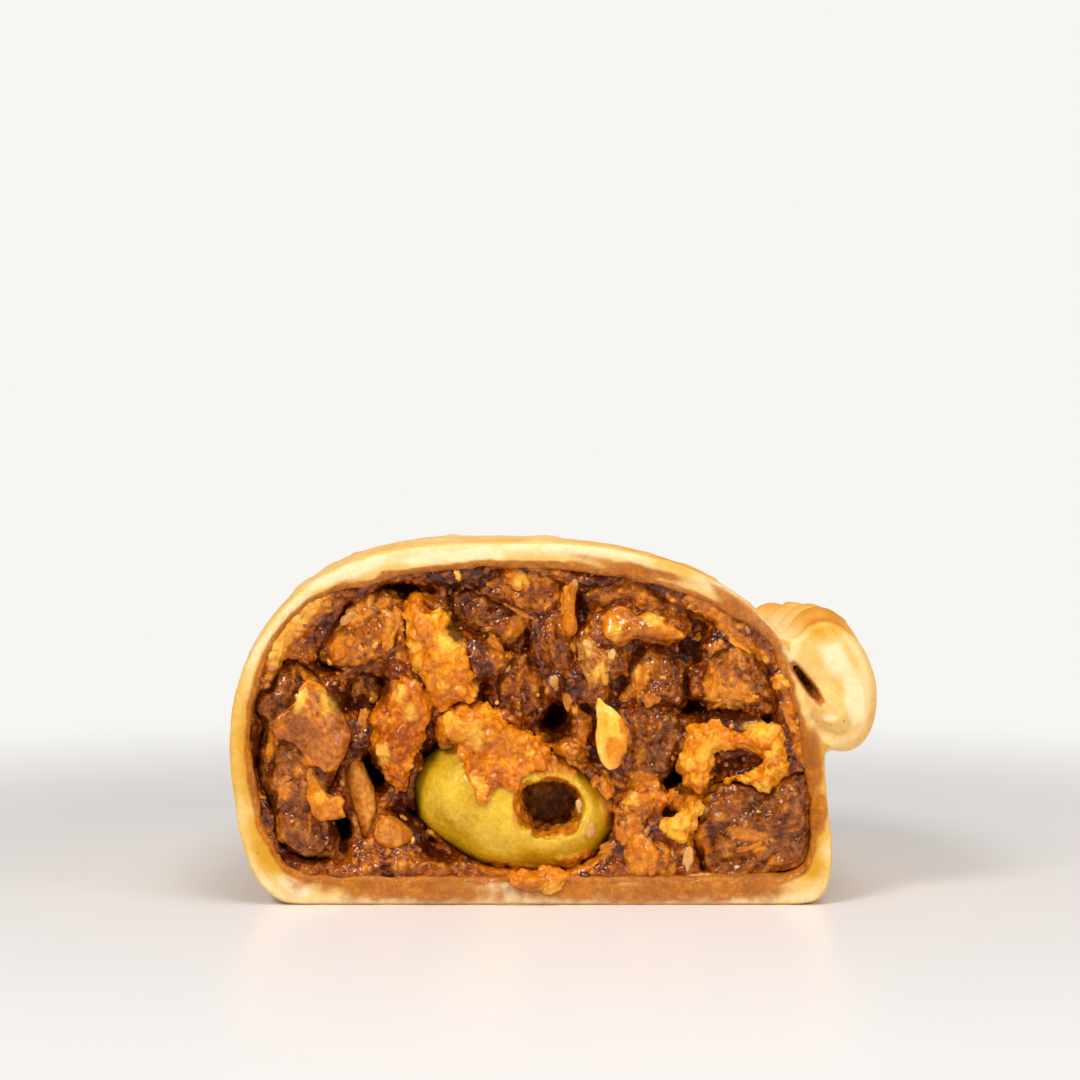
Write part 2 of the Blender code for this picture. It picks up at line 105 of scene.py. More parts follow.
# The rolled seam.
SEAM_AT_CUT = (30.2, 25.2)
SEAM_OUT, SEAM_OUT_AT_TIP = 2.2, -1.6
SEAM_END = 0.997
SEAM_STEPS = 200
SEAM_LEAN_IN = 0.34
CORD_RADIUS = 4.2
LOBE_SPACING = 8.6
LOBE_HALF = (9.4, 6.4, 5.0)
LOBE_LEAN = math.radians(34.0)
TIP_SCALE = 0.66

# Steps of the fields of distances.
CRUST_STEP = 0.52
STEW_STEP = 0.3
PIECE_STEP = 0.24
# What is left of the triangles once hidden stretches are coarse.
CRUST_SHARE, STEW_SHARE = 0.64, 0.41


def seen(red, green, blue):
    """A colour as it looks, in 0 to 255, for a shader."""
    parts = [part / 255 for part in (red, green, blue)]
    return tuple(part / 12.92 if part <= 0.04045 else ((part + 0.055) / 1.055) ** 2.4 for part in parts)


def on_cut(column, row):
    """Where a pixel of the photograph lies on the plane of the cut, as x and z."""
    return (column - ZERO_COLUMN) * PIXEL, (ZERO_ROW - row) * PIXEL


# ---------------------------------------------------------------- patterns in space

TABLE = 4096
draws = np.random.default_rng(5)
SHUFFLE = draws.permutation(TABLE)
WAYS = draws.normal(size=(TABLE, 3)).astype(np.float32)
WAYS /= np.linalg.norm(WAYS, axis=1, keepdims=True)
SPOTS = draws.random((TABLE, 3)).astype(np.float32)


def hashed(cells, seed):
    """A number for each whole-numbered cell, the same in every run."""
    x, y, z = [(cells[:, k] + 57 * seed) % TABLE for k in range(3)]
    return SHUFFLE[(SHUFFLE[(SHUFFLE[x] + y) % TABLE] + z) % TABLE]


def corner_weight(part, corner):
    """How much a corner of a cell counts for points that lie part of the way across it."""
    x, y, z = [part[:, k] if corner[k] else 1 - part[:, k] for k in range(3)]
    return x * y * z


def ripples(points, size, seed=0):
    """Smooth unevenness with features of the given size, from about -1 to 1."""
    spots = (points / size).astype(np.float32)
    cells = np.floor(spots).astype(np.int64)
    part = spots - cells.astype(np.float32)
    eased = part * part * part * (part * (part * 6 - 15) + 10)
    total = np.zeros(len(points), np.float32)
    for corner in itertools.product((0, 1), repeat=3):
        slope = ((part - np.array(corner, np.float32)) * WAYS[hashed(cells + corner, seed)]).sum(axis=1)
        total += corner_weight(eased, corner) * slope
    return total * 1.7


def rough(points, size, octaves, seed=0, fade=0.5):
    """Ripples of the given size and of ever smaller ones, from about -1 to 1."""
    total, height, full = 0.0, 1.0, 0.0
    for k in range(octaves):
        total = total + height * ripples(points, size / 2**k, seed + 11 * k)
        full += height
        height *= fade
    return total / full


def grains(points, size, seed=0):
    """Packed round grains: 1 in a grain's middle, 0 in the gaps, and each grain's own number, 0 to 1."""
    spots = (points / size).astype(np.float32)
    cells = np.floor(spots).astype(np.int64)
    nearest = np.full(len(points), 9.0, np.float32)
    second = nearest.copy()
    owner = np.zeros(len(points), np.float32)
    for corner in itertools.product((-1, 0, 1), repeat=3):
        around = cells + corner
        key = hashed(around, seed)
        away = around.astype(np.float32) + SPOTS[key] - spots
        squared = (away * away).sum(axis=1)
        closer = squared < nearest
        second = np.where(closer, nearest, np.minimum(second, squared))
        owner = np.where(closer, SPOTS[(key + 7) % TABLE, 0], owner)
        nearest = np.where(closer, squared, nearest)
    return np.clip((np.sqrt(second) - np.sqrt(nearest)) * 1.6, 0, 1), owner


def eased_step(low, high, value):
    """0 below low, 1 above high, smooth between them."""
    share = np.clip((value - low) / (high - low), 0, 1)
    return share * share * (3 - 2 * share)


# ---------------------------------------------------------------- fields of distances


def index_box(low, high, step):
    """The first and last index of a box between two corners in mm."""
    return [tuple(int(math.floor(part / step)) for part in corner) for corner in (low, high)]


class Field:
    """Signed distances in mm, negative inside, on a box of points that are a step apart."""

    def __init__(self, values, low, step):
        self.values = values
        self.low = np.array(low)
        self.step = step

    @classmethod
    def of_mesh(cls, points, faces, step, reach, box=None):
        """Distances to a closed mesh, right to within reach of it. A box is its first and last index."""
        sides = {3: "triangles", 4: "quads"}[faces.shape[1]]
        grid = openvdb.FloatGrid.createLevelSetFromPolygons(
            points.astype(np.float32), **{sides: faces.astype(np.uint32)},
            transform=openvdb.createLinearTransform(voxelSize=step), halfWidth=reach / step,
        )
        low, high = grid.evalActiveVoxelBoundingBox()
        low, high = box or (low, high)
        values = np.empty(tuple(np.array(high) - low + 1), np.float32)
        grid.copyToArray(values, ijk=low)
        return cls(values, low, step)

    def mesh(self):
        """The points and four-sided faces of the surface at distance 0, facing out."""
        grid = openvdb.FloatGrid(float(self.values.max()))
        grid.transform = openvdb.createLinearTransform(voxelSize=self.step)
        grid.copyFromArray(self.values, ijk=tuple(int(part) for part in self.low))
        grid.gridClass = "level set"
        points, quads = grid.convertToQuads(0.0)
        return points.astype(np.float32), quads[:, ::-1].astype(np.int32)

    def axes(self, part=None):
        """The x, y and z values where the values lie, for the whole box or a part of it."""
        part = part or tuple(slice(0, count) for count in self.values.shape)
        return [(np.arange(cut.start, cut.stop) + self.low[k]) * self.step for k, cut in enumerate(part)]

    def top(self):
        """The last index of the box."""
        return self.low + self.values.shape - 1

    def points(self, part=None):
        """Where the values lie, for the whole box or a part of it, as rows."""
        grid = np.stack(np.meshgrid(*self.axes(part), indexing="ij"), axis=-1)
        return grid.reshape(-1, 3).astype(np.float32)

    def part(self, low, high):
        """The slices of the box between two corners in mm."""
        first, last = index_box(low, high, self.step)
        spans = zip(first, last, self.low, self.values.shape)
        return tuple(
            slice(max(int(a - start), 0), max(0, min(int(b - start) + 1, count)))
            for a, b, start, count in spans
        )

    def at(self, points):
        """The values at any points, read between the nearest eight."""
        spots = points / self.step - self.low
        top = np.array(self.values.shape) - 1.001
        spots = np.clip(spots, 0, top)
        cells = np.floor(spots).astype(np.int64)
        part = (spots - cells).astype(np.float32)
        total = np.zeros(len(points), np.float32)
        for corner in itertools.product((0, 1), repeat=3):
            x, y, z = (cells + corner).T
            total += corner_weight(part, corner) * self.values[x, y, z]
        return total


def softened(values, passes):
    """Values averaged with their neighbours along each axis, so many times."""
    for _ in range(passes):
        for axis in range(3):
            edge = [(1, 1) if k == axis else (0, 0) for k in range(3)]
            wide = np.pad(values, edge, mode="edge")
            before = np.take(wide, range(0, wide.shape[axis] - 2), axis)
            after = np.take(wide, range(2, wide.shape[axis]), axis)
            values = (before + after) * 0.25 + values * 0.5
    return values


def joined(a, b, blend):
    """The field of two shapes that flow into each other over about the blend's width."""
    near = np.maximum(blend - np.abs(a - b), 0) / blend
    return np.minimum(a, b) - near * near * blend / 4


def shared(a, b, blend):
    """The field of what two shapes share, with its edge rounded."""
    return -joined(-a, -b, blend)


def ellipsoid(points, centre, frame_ways, half):
    """Distances to an ellipsoid, whose half sizes lie along the rows of frame_ways."""
    local = (points - np.array(centre, np.float32)) @ np.array(frame_ways, np.float32).T
    half = np.array(half, np.float32)
    once = np.linalg.norm(local / half, axis=1)
    twice = np.linalg.norm(local / half**2, axis=1) + 1e-6
    return once * (once - 1) / twice


# ---------------------------------------------------------------- meshes


def make_object(name, points, faces):
    """An object from points in mm and faces, riding on the one body."""
    mesh = bpy.data.meshes.new(name)
    mesh.from_pydata((points * MM).tolist(), [], faces.tolist())
    mesh.shade_smooth()
    obj = bpy.data.objects.new(name, mesh)
    bpy.context.scene.collection.objects.link(obj)
    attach(obj, "root")
    return obj


def main_body(points, faces):
    """The largest body of a mesh, without loose scraps."""
    label = np.arange(len(points))
    while True:
        lowest = np.repeat(label[faces].min(axis=1), faces.shape[1])
        new = label.copy()
        np.minimum.at(new, faces.ravel(), lowest)
        new = new[new]
        if np.array_equal(new, label):
            break
        label = new
    owner = label[faces[:, 0]]
    faces = faces[owner == np.bincount(owner).argmax()]
    used = np.unique(faces)
    number = np.zeros(len(points), np.int32)
    number[used] = np.arange(len(used))
    return points[used], number[faces]


def refine(obj, chosen):
    """Splits the faces whose middles are chosen into four."""
    bm = bmesh.new()
    bm.from_mesh(obj.data)
    bm.faces.ensure_lookup_table()
    middles = np.array([face.calc_center_median() for face in bm.faces]) / MM
    found = np.nonzero(chosen(middles))[0]
    edges = {edge for k in found.tolist() for edge in bm.faces[k].edges}
    bmesh.ops.subdivide_edges(bm, edges=list(edges), cuts=1, use_grid_fill=True)
    bm.to_mesh(obj.data)
    bm.free()
    obj.data.shade_smooth()


def read(items, name, width, kind=np.float32):
    """What a mesh stores for each of its items, as rows."""
    flat = np.empty(len(items) * width, kind)
    items.foreach_get(name, flat)
    return flat.reshape(-1, width)


def points_of(obj):
    """A mesh's points in mm."""
    return read(obj.data.vertices, "co", 3) / MM


def normals_of(obj):
    return read(obj.data.vertices, "normal", 3)


def triangles_of(mesh):
    mesh.calc_loop_triangles()
    return read(mesh.loop_triangles, "vertices", 3, np.int32)


def move_points(obj, points):
    obj.data.vertices.foreach_set("co", (points * MM).astype(np.float32).ravel())
    obj.data.update()


def push(obj, distance):
    """Moves each point along its normal."""
    move_points(obj, points_of(obj) + normals_of(obj) * np.asarray(distance)[:, None])


def keep(obj, **values):
    """Stores values on the points, for the material."""
    for name, value in values.items():
        made = obj.data.attributes.new(name, "FLOAT", "POINT")
        made.data.foreach_set("value", np.ascontiguousarray(value, np.float32))


def node_mesh(name):
    """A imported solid's points in mm and its triangles."""
    node = frame["nodes"][name]
    points = np.array([node.matrix_world @ vert.co for vert in node.data.vertices], np.float32) / MM
    return points, triangles_of(node.data)


# ---------------------------------------------------------------- the crust's form


def smooth_through(points, splits):
    """Points along a Catmull-Rom curve through the given (x, z) points, both ends included."""
    ends = [points[0], *points, points[-1]]
    curve = []
    for quad in zip(ends, ends[1:], ends[2:], ends[3:]):
        for step in range(splits):
            u = step / splits
            curve.append(tuple(
                b + 0.5 * u * (c - a + u * (2 * a - 5 * b + 4 * c - d + u * (3 * b - a - 3 * c + d)))
                for a, b, c, d in zip(*quad)
            ))
    return [*curve, points[-1]]


def smooth_ring(points, splits):
    """Points along a closed Catmull-Rom curve through the given points."""
    looped = [*points, *points[:3]]
    turns = smooth_through(looped, splits)
    return turns[splits:splits * (len(points) + 1)]


def cut_section():
    """The closed outline at the cut: over the dome from left to right, then back along the base."""
    dome = [(x, max(z, 0.0)) for x, z in smooth_through(CUT_OUTLINE, SPLITS_PER_SPAN)]
    start, end = CUT_OUTLINE[-1][0], CUT_OUTLINE[0][0]
    splits = 24
    return dome + [(start + (end - start) * k / splits, 0.0) for k in range(1, splits)]


def at_depth(x, z, share, walls=(0, 0, 0, 0, 0)):
    """Where a point of the cut outline lies at a share of the depth, moved inwards by the walls."""
    left, right, bottom, top, tip = walls
    spread = (1 - share**PLAN_POWER) ** (1 / PLAN_ROUND)
    centre = MIDDLE - FOLD_STRAIGHTNESS * WIDTH / 2 * (1 - spread)
    across = (x - MIDDLE) * spread * (1 - (left + right) / WIDTH)
    high = TIP_HEIGHT + (HEIGHT - TIP_HEIGHT) * (1 - share**SIDE_POWER) ** (1 / SIDE_ROUND)
    lifted = max(0.0, (share - FLAT_SHARE) / (1 - FLAT_SHARE))
    low = TIP_HEIGHT * (1 - math.sqrt(1 - lifted**2))
    up = (z / HEIGHT - 0.5) * (high - low) * (1 - (bottom + top) / HEIGHT)
    return Vector((
        centre + (left - right) / 2 + across,
        CUT_Y + (DEPTH - tip) * share,
        (high + low) / 2 + (bottom - top) / 2 + up,
    ))


def waved(point):
    """A point of the outer form moved by the dough's soft waves, which fade out at the underside."""
    swell = WAVE_HEIGHT * min(1.0, point.z / WAVE_FADE) * noise.noise(point / WAVE_LENGTH)
    out = Vector((point.x / RIGHT, 0.0, (point.z - TIP_HEIGHT) / HEIGHT))
    return point + out.normalized() * swell


def form_field(walls, front, step, reach, box):
    """The form, or the room inside its walls, from front mm before the cut to the tip."""
    rings = []
    for k in range(RINGS):
        share = math.sin(math.pi / 2 * k / RINGS)
        ring = [at_depth(x, z, share, walls) for x, z in cut_section()] if walls else [
            waved(at_depth(x, z, share)) for x, z in cut_section()
        ]
        rings.append(ring)
    rings.insert(0, [Vector((p.x, CUT_Y - front, p.z)) for p in rings[0]])
    sides = len(rings[0])
    tip = at_depth(0.0, 0.0, 1.0, walls or (0, 0, 0, 0, 0))
    points = [tuple(p) for ring in rings for p in ring] + [tuple(tip)]
    faces = []
    for ring in range(len(rings) - 1):
        for k in range(sides):
            a, b = ring * sides + k, ring * sides + (k + 1) % sides
            faces += [(a, b, b + sides), (a, b + sides, a + sides)]
    last = (len(rings) - 1) * sides
    faces += [(last + k, last + (k + 1) % sides, len(points) - 1) for k in range(sides)]
    middle = len(points)
    points.append((MIDDLE, CUT_Y - front, HEIGHT / 2))
    faces += [((k + 1) % sides, k, middle) for k in range(sides)]
    return Field.of_mesh(np.array(points), np.array(faces), step, reach, box)


def seam_frames():
    """Steps along the seam to the tip: how far along, the point, and the ways along, up and out."""
    shares = [SEAM_END * math.sin(math.pi / 2 * k / SEAM_STEPS) for k in range(SEAM_STEPS + 1)]
    points = [at_depth(*SEAM_AT_CUT, share) for share in shares]
    frames, walked = [], 0.0
    for k in range(1, SEAM_STEPS):
        along = (points[k + 1] - points[k - 1]).normalized()
        upright = Vector((-SEAM_LEAN_IN * (1 - k / SEAM_STEPS), 0.0, 1.0))
        out = along.cross(upright).normalized()
        walked += (points[k] - points[k - 1]).length
        frames.append((walked, points[k], along, out.cross(along), out))
    return frames


# How far each fold of the seam is rolled, and how softly folds join each other and the wall.
LOBE_ROLL = math.radians(16.0)
LOBE_BLEND, SEAM_BLEND = 0.9, 1.6


def add_seam(field):
    """Adds the folded lobes of the rolled edge and their cord of dough to the field."""
    frames = seam_frames()
    length = frames[-1][0]
    sizes = [1 - (1 - TIP_SCALE) * (walked / length) ** 2 for walked, *_ in frames]
    sunk = [SEAM_OUT + (SEAM_OUT_AT_TIP - SEAM_OUT) * (walked / length) ** 3 for walked, *_ in frames]
    centres = [point + out * away for (_, point, _, _, out), away in zip(frames, sunk)]
    seam = np.full(field.values.shape, 9.0, np.float32)

    def local(centre, reach):
        part = field.part([centre[k] - reach for k in range(3)], [centre[k] + reach for k in range(3)])
        return part, field.points(part), seam[part].shape

    for k in range(0, len(frames), 2):
        radius = CORD_RADIUS * sizes[k]
        part, points, shape = local(centres[k], radius + 3)
        ball = np.linalg.norm(points - np.array(centres[k]), axis=1) - radius
        seam[part] = np.minimum(seam[part], ball.reshape(shape))
    count = round(length / LOBE_SPACING)
    for k in range(count + 1):
        nearest = min(range(len(frames)), key=lambda step: abs(frames[step][0] - length * k / count))
        _, _, along, up, out = frames[nearest]
        long_way = up * math.cos(LOBE_LEAN) - along * math.sin(LOBE_LEAN)
        short_way = along * math.cos(LOBE_LEAN) + up * math.sin(LOBE_LEAN)
        rolled = short_way * math.cos(LOBE_ROLL) + out * math.sin(LOBE_ROLL)
        across = out * math.cos(LOBE_ROLL) - short_way * math.sin(LOBE_ROLL)
        half = [part * sizes[nearest] for part in LOBE_HALF]
        part, points, shape = local(centres[nearest], half[0] + 3)
        lobe = ellipsoid(points, centres[nearest], (long_way, rolled, across), half)
        seam[part] = joined(seam[part], lobe.reshape(shape), LOBE_BLEND)
    field.values = joined(field.values, seam, SEAM_BLEND)
    return Field(seam, field.low, field.step)


def rotated_ways(tilt):
    """Rows of a frame that is turned in the plane of the cut, clockwise as seen, by tilt degrees."""
    turn = Matrix.Rotation(math.radians(tilt), 3, "Y")
    return np.array(turn.transposed(), np.float32)


# The last fold of the seam as the cut shows it: a thick lobe with a tongue of dough rolled into it, a
# slit between it and the wall, and a crease around the tongue.
TONGUE = {"x": 32.0, "z": 22.9, "half": (1.9, 1.5, 3.0), "tilt": -32.0}
MOAT = {"x": 31.9, "z": 22.8, "half": (2.4, 0.7, 3.5), "tilt": -32.0}
SLIT = {"x": 29.3, "z": 25.9, "half": (0.42, 5.0, 2.6), "tilt": -37.0}

# Near the cut the inner wall turns outwards a little everywhere, and more in these places: x, z, how far
# around them and by how many mm. It ends so far behind the cut.
FLARES = [(-27.0, 31.5, 9.0, 1.7), (24.0, 31.0, 7.0, 0.7)]
FLARE_EVERYWHERE, FLARE_DEPTH = 0.35, 4.5
# How round the edge of the cut is on the wall and on the seam.
RIM_SOFTNESS, LOBE_SOFTNESS = 0.5, 3.2


def build_crust():
    box = index_box((-39.5, -38.5, -1.5), (40.0, 39.5, 44.5), CRUST_STEP)
    field = form_field(None, 5.0, CRUST_STEP, 3.4, box)
    wall = Field(field.values.copy(), field.low, CRUST_STEP)
    seam = add_seam(field)
    cavity = form_field(WALL, 10.0, CRUST_STEP, 3.4, box)
    shape = field.values.shape

    # The inner edge is ragged near the cut.
    near = field.part((-40, -39, 0), (40, CUT_Y + 7, 44))
    spots = field.points(near)
    fade = eased_step(CUT_Y + 6, CUT_Y, spots[:, 1])
    ragged = 0.35 * ripples(spots, 3.2, 1) + 0.22 * ripples(spots, 1.3, 2)
    flare = np.full(len(spots), FLARE_EVERYWHERE, np.float32)
    for x, z, reach, far in FLARES:
        flare += far * eased_step(reach, 0.0, np.hypot(spots[:, 0] - x, spots[:, 2] - z))
    flare *= eased_step(CUT_Y + FLARE_DEPTH, CUT_Y, spots[:, 1])
    cavity.values[near] += (ragged * fade - flare).reshape(cavity.values[near].shape)

    # The cut: nearly sharp on the wall, rounder on the lobe of the seam.
    plane = np.broadcast_to((CUT_Y - field.axes()[1])[None, :, None], shape).astype(np.float32)
    soft = shared(field.values, plane, LOBE_SOFTNESS)
    crisp = shared(field.values, plane, RIM_SOFTNESS)
    on_lobe = eased_step(0.0, 2.5, wall.values)
    field.values = crisp + (soft - crisp) * on_lobe
    field.values = shared(field.values, -cavity.values, 0.7)
    carve(field, MOAT, 0.0, cut_out, 0.5)
    carve(field, TONGUE, 0.2, joined, 0.2)
    carve(field, SLIT, 0.0, cut_out, 0.5)
    return field, wall, seam, cavity, *main_body(*field.mesh())


# ---------------------------------------------------------------- the pieces of the filling

# How each piece looks: its food, how light it is, how mauve, how much egg mash covers it, and the lie
# of its fibres in the plane of the cut, in degrees from upright.
PIECES = {
    "egg_curl": ("egg", 0.58, 0.0, 0.0, 0),
    "onion_strip": ("onion", 0.42, 0.0, 0.1, 50),
    "garlic_slice": ("garlic", 0.62, 0.0, 0.0, 0),
    "egg_bit": ("egg", 0.8, 0.0, 0.0, 0),
    "egg_bottom": ("egg", 0.58, 0.0, 0.0, 0),
    "onion_wedge": ("onion", 0.32, 0.0, 0.05, -38),
    "onion_flap": ("onion", 0.5, 0.0, 0.45, 24),
    "onion_slice": ("onion", 0.3, 0.0, 0.15, 80),
    "egg_top": ("egg", 0.56, 0.0, 0.0, 0),
    "egg_left": ("egg", 0.3, 0.0, 0.0, 0),
    "green_olive": ("olive", 0.62, 0.0, 0.0, 0),
    "egg_over_olive": ("egg", 0.46, 0.0, 0.0, 0),
    "beef_left": ("beef", 0.28, 0.5, 0.06, 10),
    "beef_upper_left": ("beef", 0.44, 0.15, 0.25, 20),
    "beef_lower_right": ("beef", 0.29, 0.75, 0.04, 55),
    "beef_nubbly": ("beef", 0.72, 0.4, 0.12, 0),
    "onion_thread": ("onion", 0.45, 0.0, 0.3, 0),
    "beef_upper_right": ("beef", 0.46, 0.5, 0.22, -20),
    "beef_bottom": ("beef", 0.5, 0.2, 0.35, 0),
    "onion_dice": ("onion", 0.5, 0.0, 0.2, 0),
    "onion_petal": ("onion", 0.64, 0.0, 0.0, -10),
    "beef_mid_right": ("beef", 0.26, 0.6, 0.06, 0),
    "beef_top_centre": ("beef", 0.36, 0.1, 0.2, 40),
    "beef_top_right": ("beef", 0.36, 0.1, 0.25, 60),
    "beef_centre": ("beef", 0.4, 0.1, 0.2, 0),
    "beef_top_dark": ("beef", 0.2, 0.1, 0.0, 60),
    "beef_middle": ("beef", 0.34, 0.2, 0.12, 0),
    "beef_dark_right": ("beef", 0.3, 0.25, 0.1, 10),
    "beef_low_left": ("beef", 0.16, 0.0, 0.05, 0),
}

# Outlines of the pieces at the cut, clockwise, as columns and rows of the photograph.
OUTLINES = {
    "egg_curl": [
        (676, 765), (680, 749), (686, 734), (695, 725), (708, 721), (721, 722), (732, 727), (742, 732),
        (752, 725), (767, 722), (783, 724), (786, 737), (784, 750), (789, 762), (792, 773), (786, 782),
        (779, 787), (774, 797), (769, 800), (762, 796), (753, 790), (741, 786), (731, 786), (721, 791),
        (711, 798), (698, 797), (690, 789), (682, 778),
    ],
    "garlic_slice": [
        (596, 699), (600, 697), (604, 703), (613, 709), (621, 717), (626, 727), (628, 738), (627, 749),
        (622, 756), (620, 765), (615, 770), (609, 771), (603, 766), (598, 755), (595, 741), (596, 725),
    ],
    "egg_bit": [
        (661, 820), (672, 818), (682, 814), (686, 806), (691, 800), (699, 800), (704, 808), (708, 817),
        (702, 824), (697, 833), (690, 842), (685, 848), (677, 847), (668, 840), (661, 832),
    ],
    "egg_bottom": [
        (503, 876), (516, 870), (535, 871), (556, 868), (570, 873), (573, 883), (566, 892), (556, 898),
        (545, 901), (536, 896), (522, 894), (508, 889),
    ],
    "onion_wedge": [
        (297, 690), (303, 682), (311, 680), (322, 687), (332, 694), (339, 706), (345, 720), (350, 738),
        (346, 752), (341, 765), (333, 772), (325, 773), (317, 767), (308, 766), (301, 755), (293, 745),
        (283, 740), (273, 738), (271, 728), (276, 716), (287, 707), (295, 700),
    ],
    "onion_flap": [
        (303, 766), (311, 768), (314, 778), (321, 790), (329, 797), (337, 796), (344, 803), (341, 809),
        (346, 818), (338, 821), (327, 823), (323, 830), (315, 829), (309, 820), (309, 808), (304, 799),
        (306, 788), (303, 777),
    ],
    "onion_slice": [
        (603, 618), (612, 610), (621, 607), (631, 612), (639, 617), (648, 610), (657, 617), (667, 623),
        (678, 629), (688, 637), (680, 641), (662, 642), (648, 643), (635, 640), (627, 645), (620, 648),
        (611, 643), (604, 636), (601, 627),
    ],
    "egg_top": [
        (412, 597), (421, 595), (426, 604), (431, 609), (437, 603), (442, 611), (449, 617), (454, 627),
        (462, 632), (467, 642), (468, 655), (473, 668), (476, 684), (478, 700), (468, 706), (454, 706),
        (442, 710), (433, 706), (427, 692), (416, 682), (408, 668), (403, 650), (399, 635), (400, 616),
        (405, 605),
    ],
    "egg_left": [
        (394, 680), (403, 674), (412, 674), (421, 681), (429, 691), (433, 704), (431, 718), (425, 735),
        (419, 750), (414, 768), (413, 785), (406, 793), (398, 794), (391, 787), (383, 776), (375, 766),
        (368, 754), (367, 742), (371, 728), (371, 716), (378, 706), (380, 696), (386, 688),
    ],
    "egg_over_olive": [
        (441, 712), (452, 705), (466, 705), (480, 706), (492, 711), (504, 721), (517, 727), (531, 735),
        (545, 747), (551, 758), (545, 769), (531, 768), (519, 772), (505, 778), (491, 782), (477, 779),
        (466, 770), (460, 757), (454, 747), (446, 740), (438, 727),
    ],
    "beef_left": [
        (286, 665), (297, 667), (308, 675), (315, 685), (323, 703), (330, 730), (334, 760), (330, 788),
        (326, 812), (326, 829), (331, 840), (332, 852), (325, 861), (306, 861), (289, 856), (278, 843),
        (273, 822), (268, 803), (263, 785), (261, 765), (262, 745), (264, 727), (258, 718), (252, 706),
        (254, 697), (266, 694), (276, 686), (278, 674),
    ],
    "beef_upper_left": [
        (341, 616), (345, 607), (352, 602), (361, 595), (372, 590), (380, 593), (392, 598), (401, 607),
        (402, 625), (401, 640), (395, 652), (387, 662), (372, 668), (350, 669), (332, 665), (322, 657),
        (320, 646), (326, 635), (334, 626),
    ],
    "beef_lower_right": [
        (712, 802), (722, 792), (740, 788), (755, 794), (768, 803), (780, 792), (794, 784), (808, 776),
        (817, 788), (820, 806), (825, 822), (823, 842), (818, 862), (810, 878), (796, 886), (775, 889),
        (750, 890), (728, 887), (712, 878), (702, 862), (699, 840), (702, 820),
    ],
    "beef_nubbly": [
        (577, 650), (581, 641), (588, 637), (596, 640), (602, 646), (611, 647), (620, 651), (620, 660),
        (613, 667), (610, 677), (606, 688), (598, 694), (589, 692), (582, 682), (577, 668),
    ],
    "onion_thread": [
        (567, 582), (574, 578), (580, 584), (577, 596), (576, 610), (578, 625), (575, 636), (567, 638),
        (562, 627), (563, 612), (561, 600), (565, 590),
    ],
    "beef_upper_right": [
        (706, 662), (716, 652), (730, 646), (745, 648), (757, 655), (768, 667), (776, 684), (779, 700),
        (766, 708), (751, 712), (735, 717), (718, 714), (708, 704), (702, 690), (703, 674),
    ],
    "beef_bottom": [
        (626, 852), (632, 842), (645, 838), (658, 843), (672, 846), (683, 855), (681, 868), (674, 880),
        (660, 884), (645, 887), (633, 883), (625, 872), (622, 862),
    ],
    "onion_dice": [
        (371, 830), (378, 822), (391, 820), (402, 828), (411, 836), (411, 846), (402, 852), (390, 854),
        (377, 850), (369, 841),
    ],
    "onion_petal": [
        (343, 770), (350, 762), (358, 762), (364, 775), (372, 795), (377, 813), (373, 828), (369, 842),
        (363, 850), (357, 840), (352, 822), (347, 802), (342, 784),
    ],
    "beef_mid_right": [
        (632, 722), (642, 716), (660, 712), (677, 716), (685, 726), (683, 742), (679, 760), (672, 773),
        (663, 784), (652, 792), (638, 796), (625, 788), (619, 774), (624, 758), (629, 745),
    ],
    "beef_top_centre": [
        (478, 582), (484, 574), (497, 568), (508, 563), (522, 569), (535, 570), (552, 576), (568, 586),
        (573, 600), (560, 612), (545, 616), (530, 614), (515, 610), (500, 602), (486, 594),
    ],
    "beef_top_right": [
        (585, 590), (597, 583), (612, 580), (628, 577), (642, 580), (655, 590), (667, 600), (668, 610),
        (655, 614), (640, 612), (622, 606), (605, 612), (592, 611), (584, 602),
    ],
    "beef_centre": [
        (540, 622), (548, 614), (560, 611), (571, 620), (576, 635), (575, 652), (572, 668), (562, 677),
        (550, 672), (541, 660), (537, 642),
    ],
    "beef_top_dark": [
        (442, 592), (452, 582), (466, 579), (480, 589), (500, 601), (520, 612), (531, 625), (533, 645),
        (524, 657), (505, 655), (488, 649), (472, 639), (457, 626), (446, 610),
    ],
    "beef_middle": [
        (496, 676), (506, 664), (520, 657), (534, 660), (545, 672), (547, 690), (545, 708), (538, 722),
        (522, 726), (506, 719), (496, 708), (492, 692),
    ],
    "beef_dark_right": [
        (632, 655), (645, 646), (662, 645), (676, 650), (686, 665), (690, 685), (688, 702), (680, 714),
        (664, 715), (646, 712), (634, 704), (628, 690), (628, 670),
    ],
    "beef_low_left": [
        (342, 690), (350, 680), (362, 674), (376, 676), (385, 686), (384, 700), (376, 712), (362, 717),
        (350, 710), (342, 702),
    ],
}
# The gap inside the curl of egg, and how far egg mash runs down over the olive.
CURL_GAP = [
    (717, 785), (715, 775), (720, 765), (728, 758), (742, 756), (756, 760), (760, 766), (748, 771),
    (736, 774), (729, 779), (723, 786),
]
DRAPE = [
    (444, 722), (470, 716), (510, 726), (546, 744), (548, 764), (530, 770), (520, 780), (516, 792),
    (507, 792), (498, 785), (492, 793), (487, 803), (481, 803), (474, 791), (467, 776), (460, 758),
    (450, 745),
]
DRAPE_THICKNESS, DRAPE_OUT = 0.7, 0.35
# How far the box around a piece reaches beyond its solid.
ROOM, DRAPE_ROOM = 2.6, 7.0

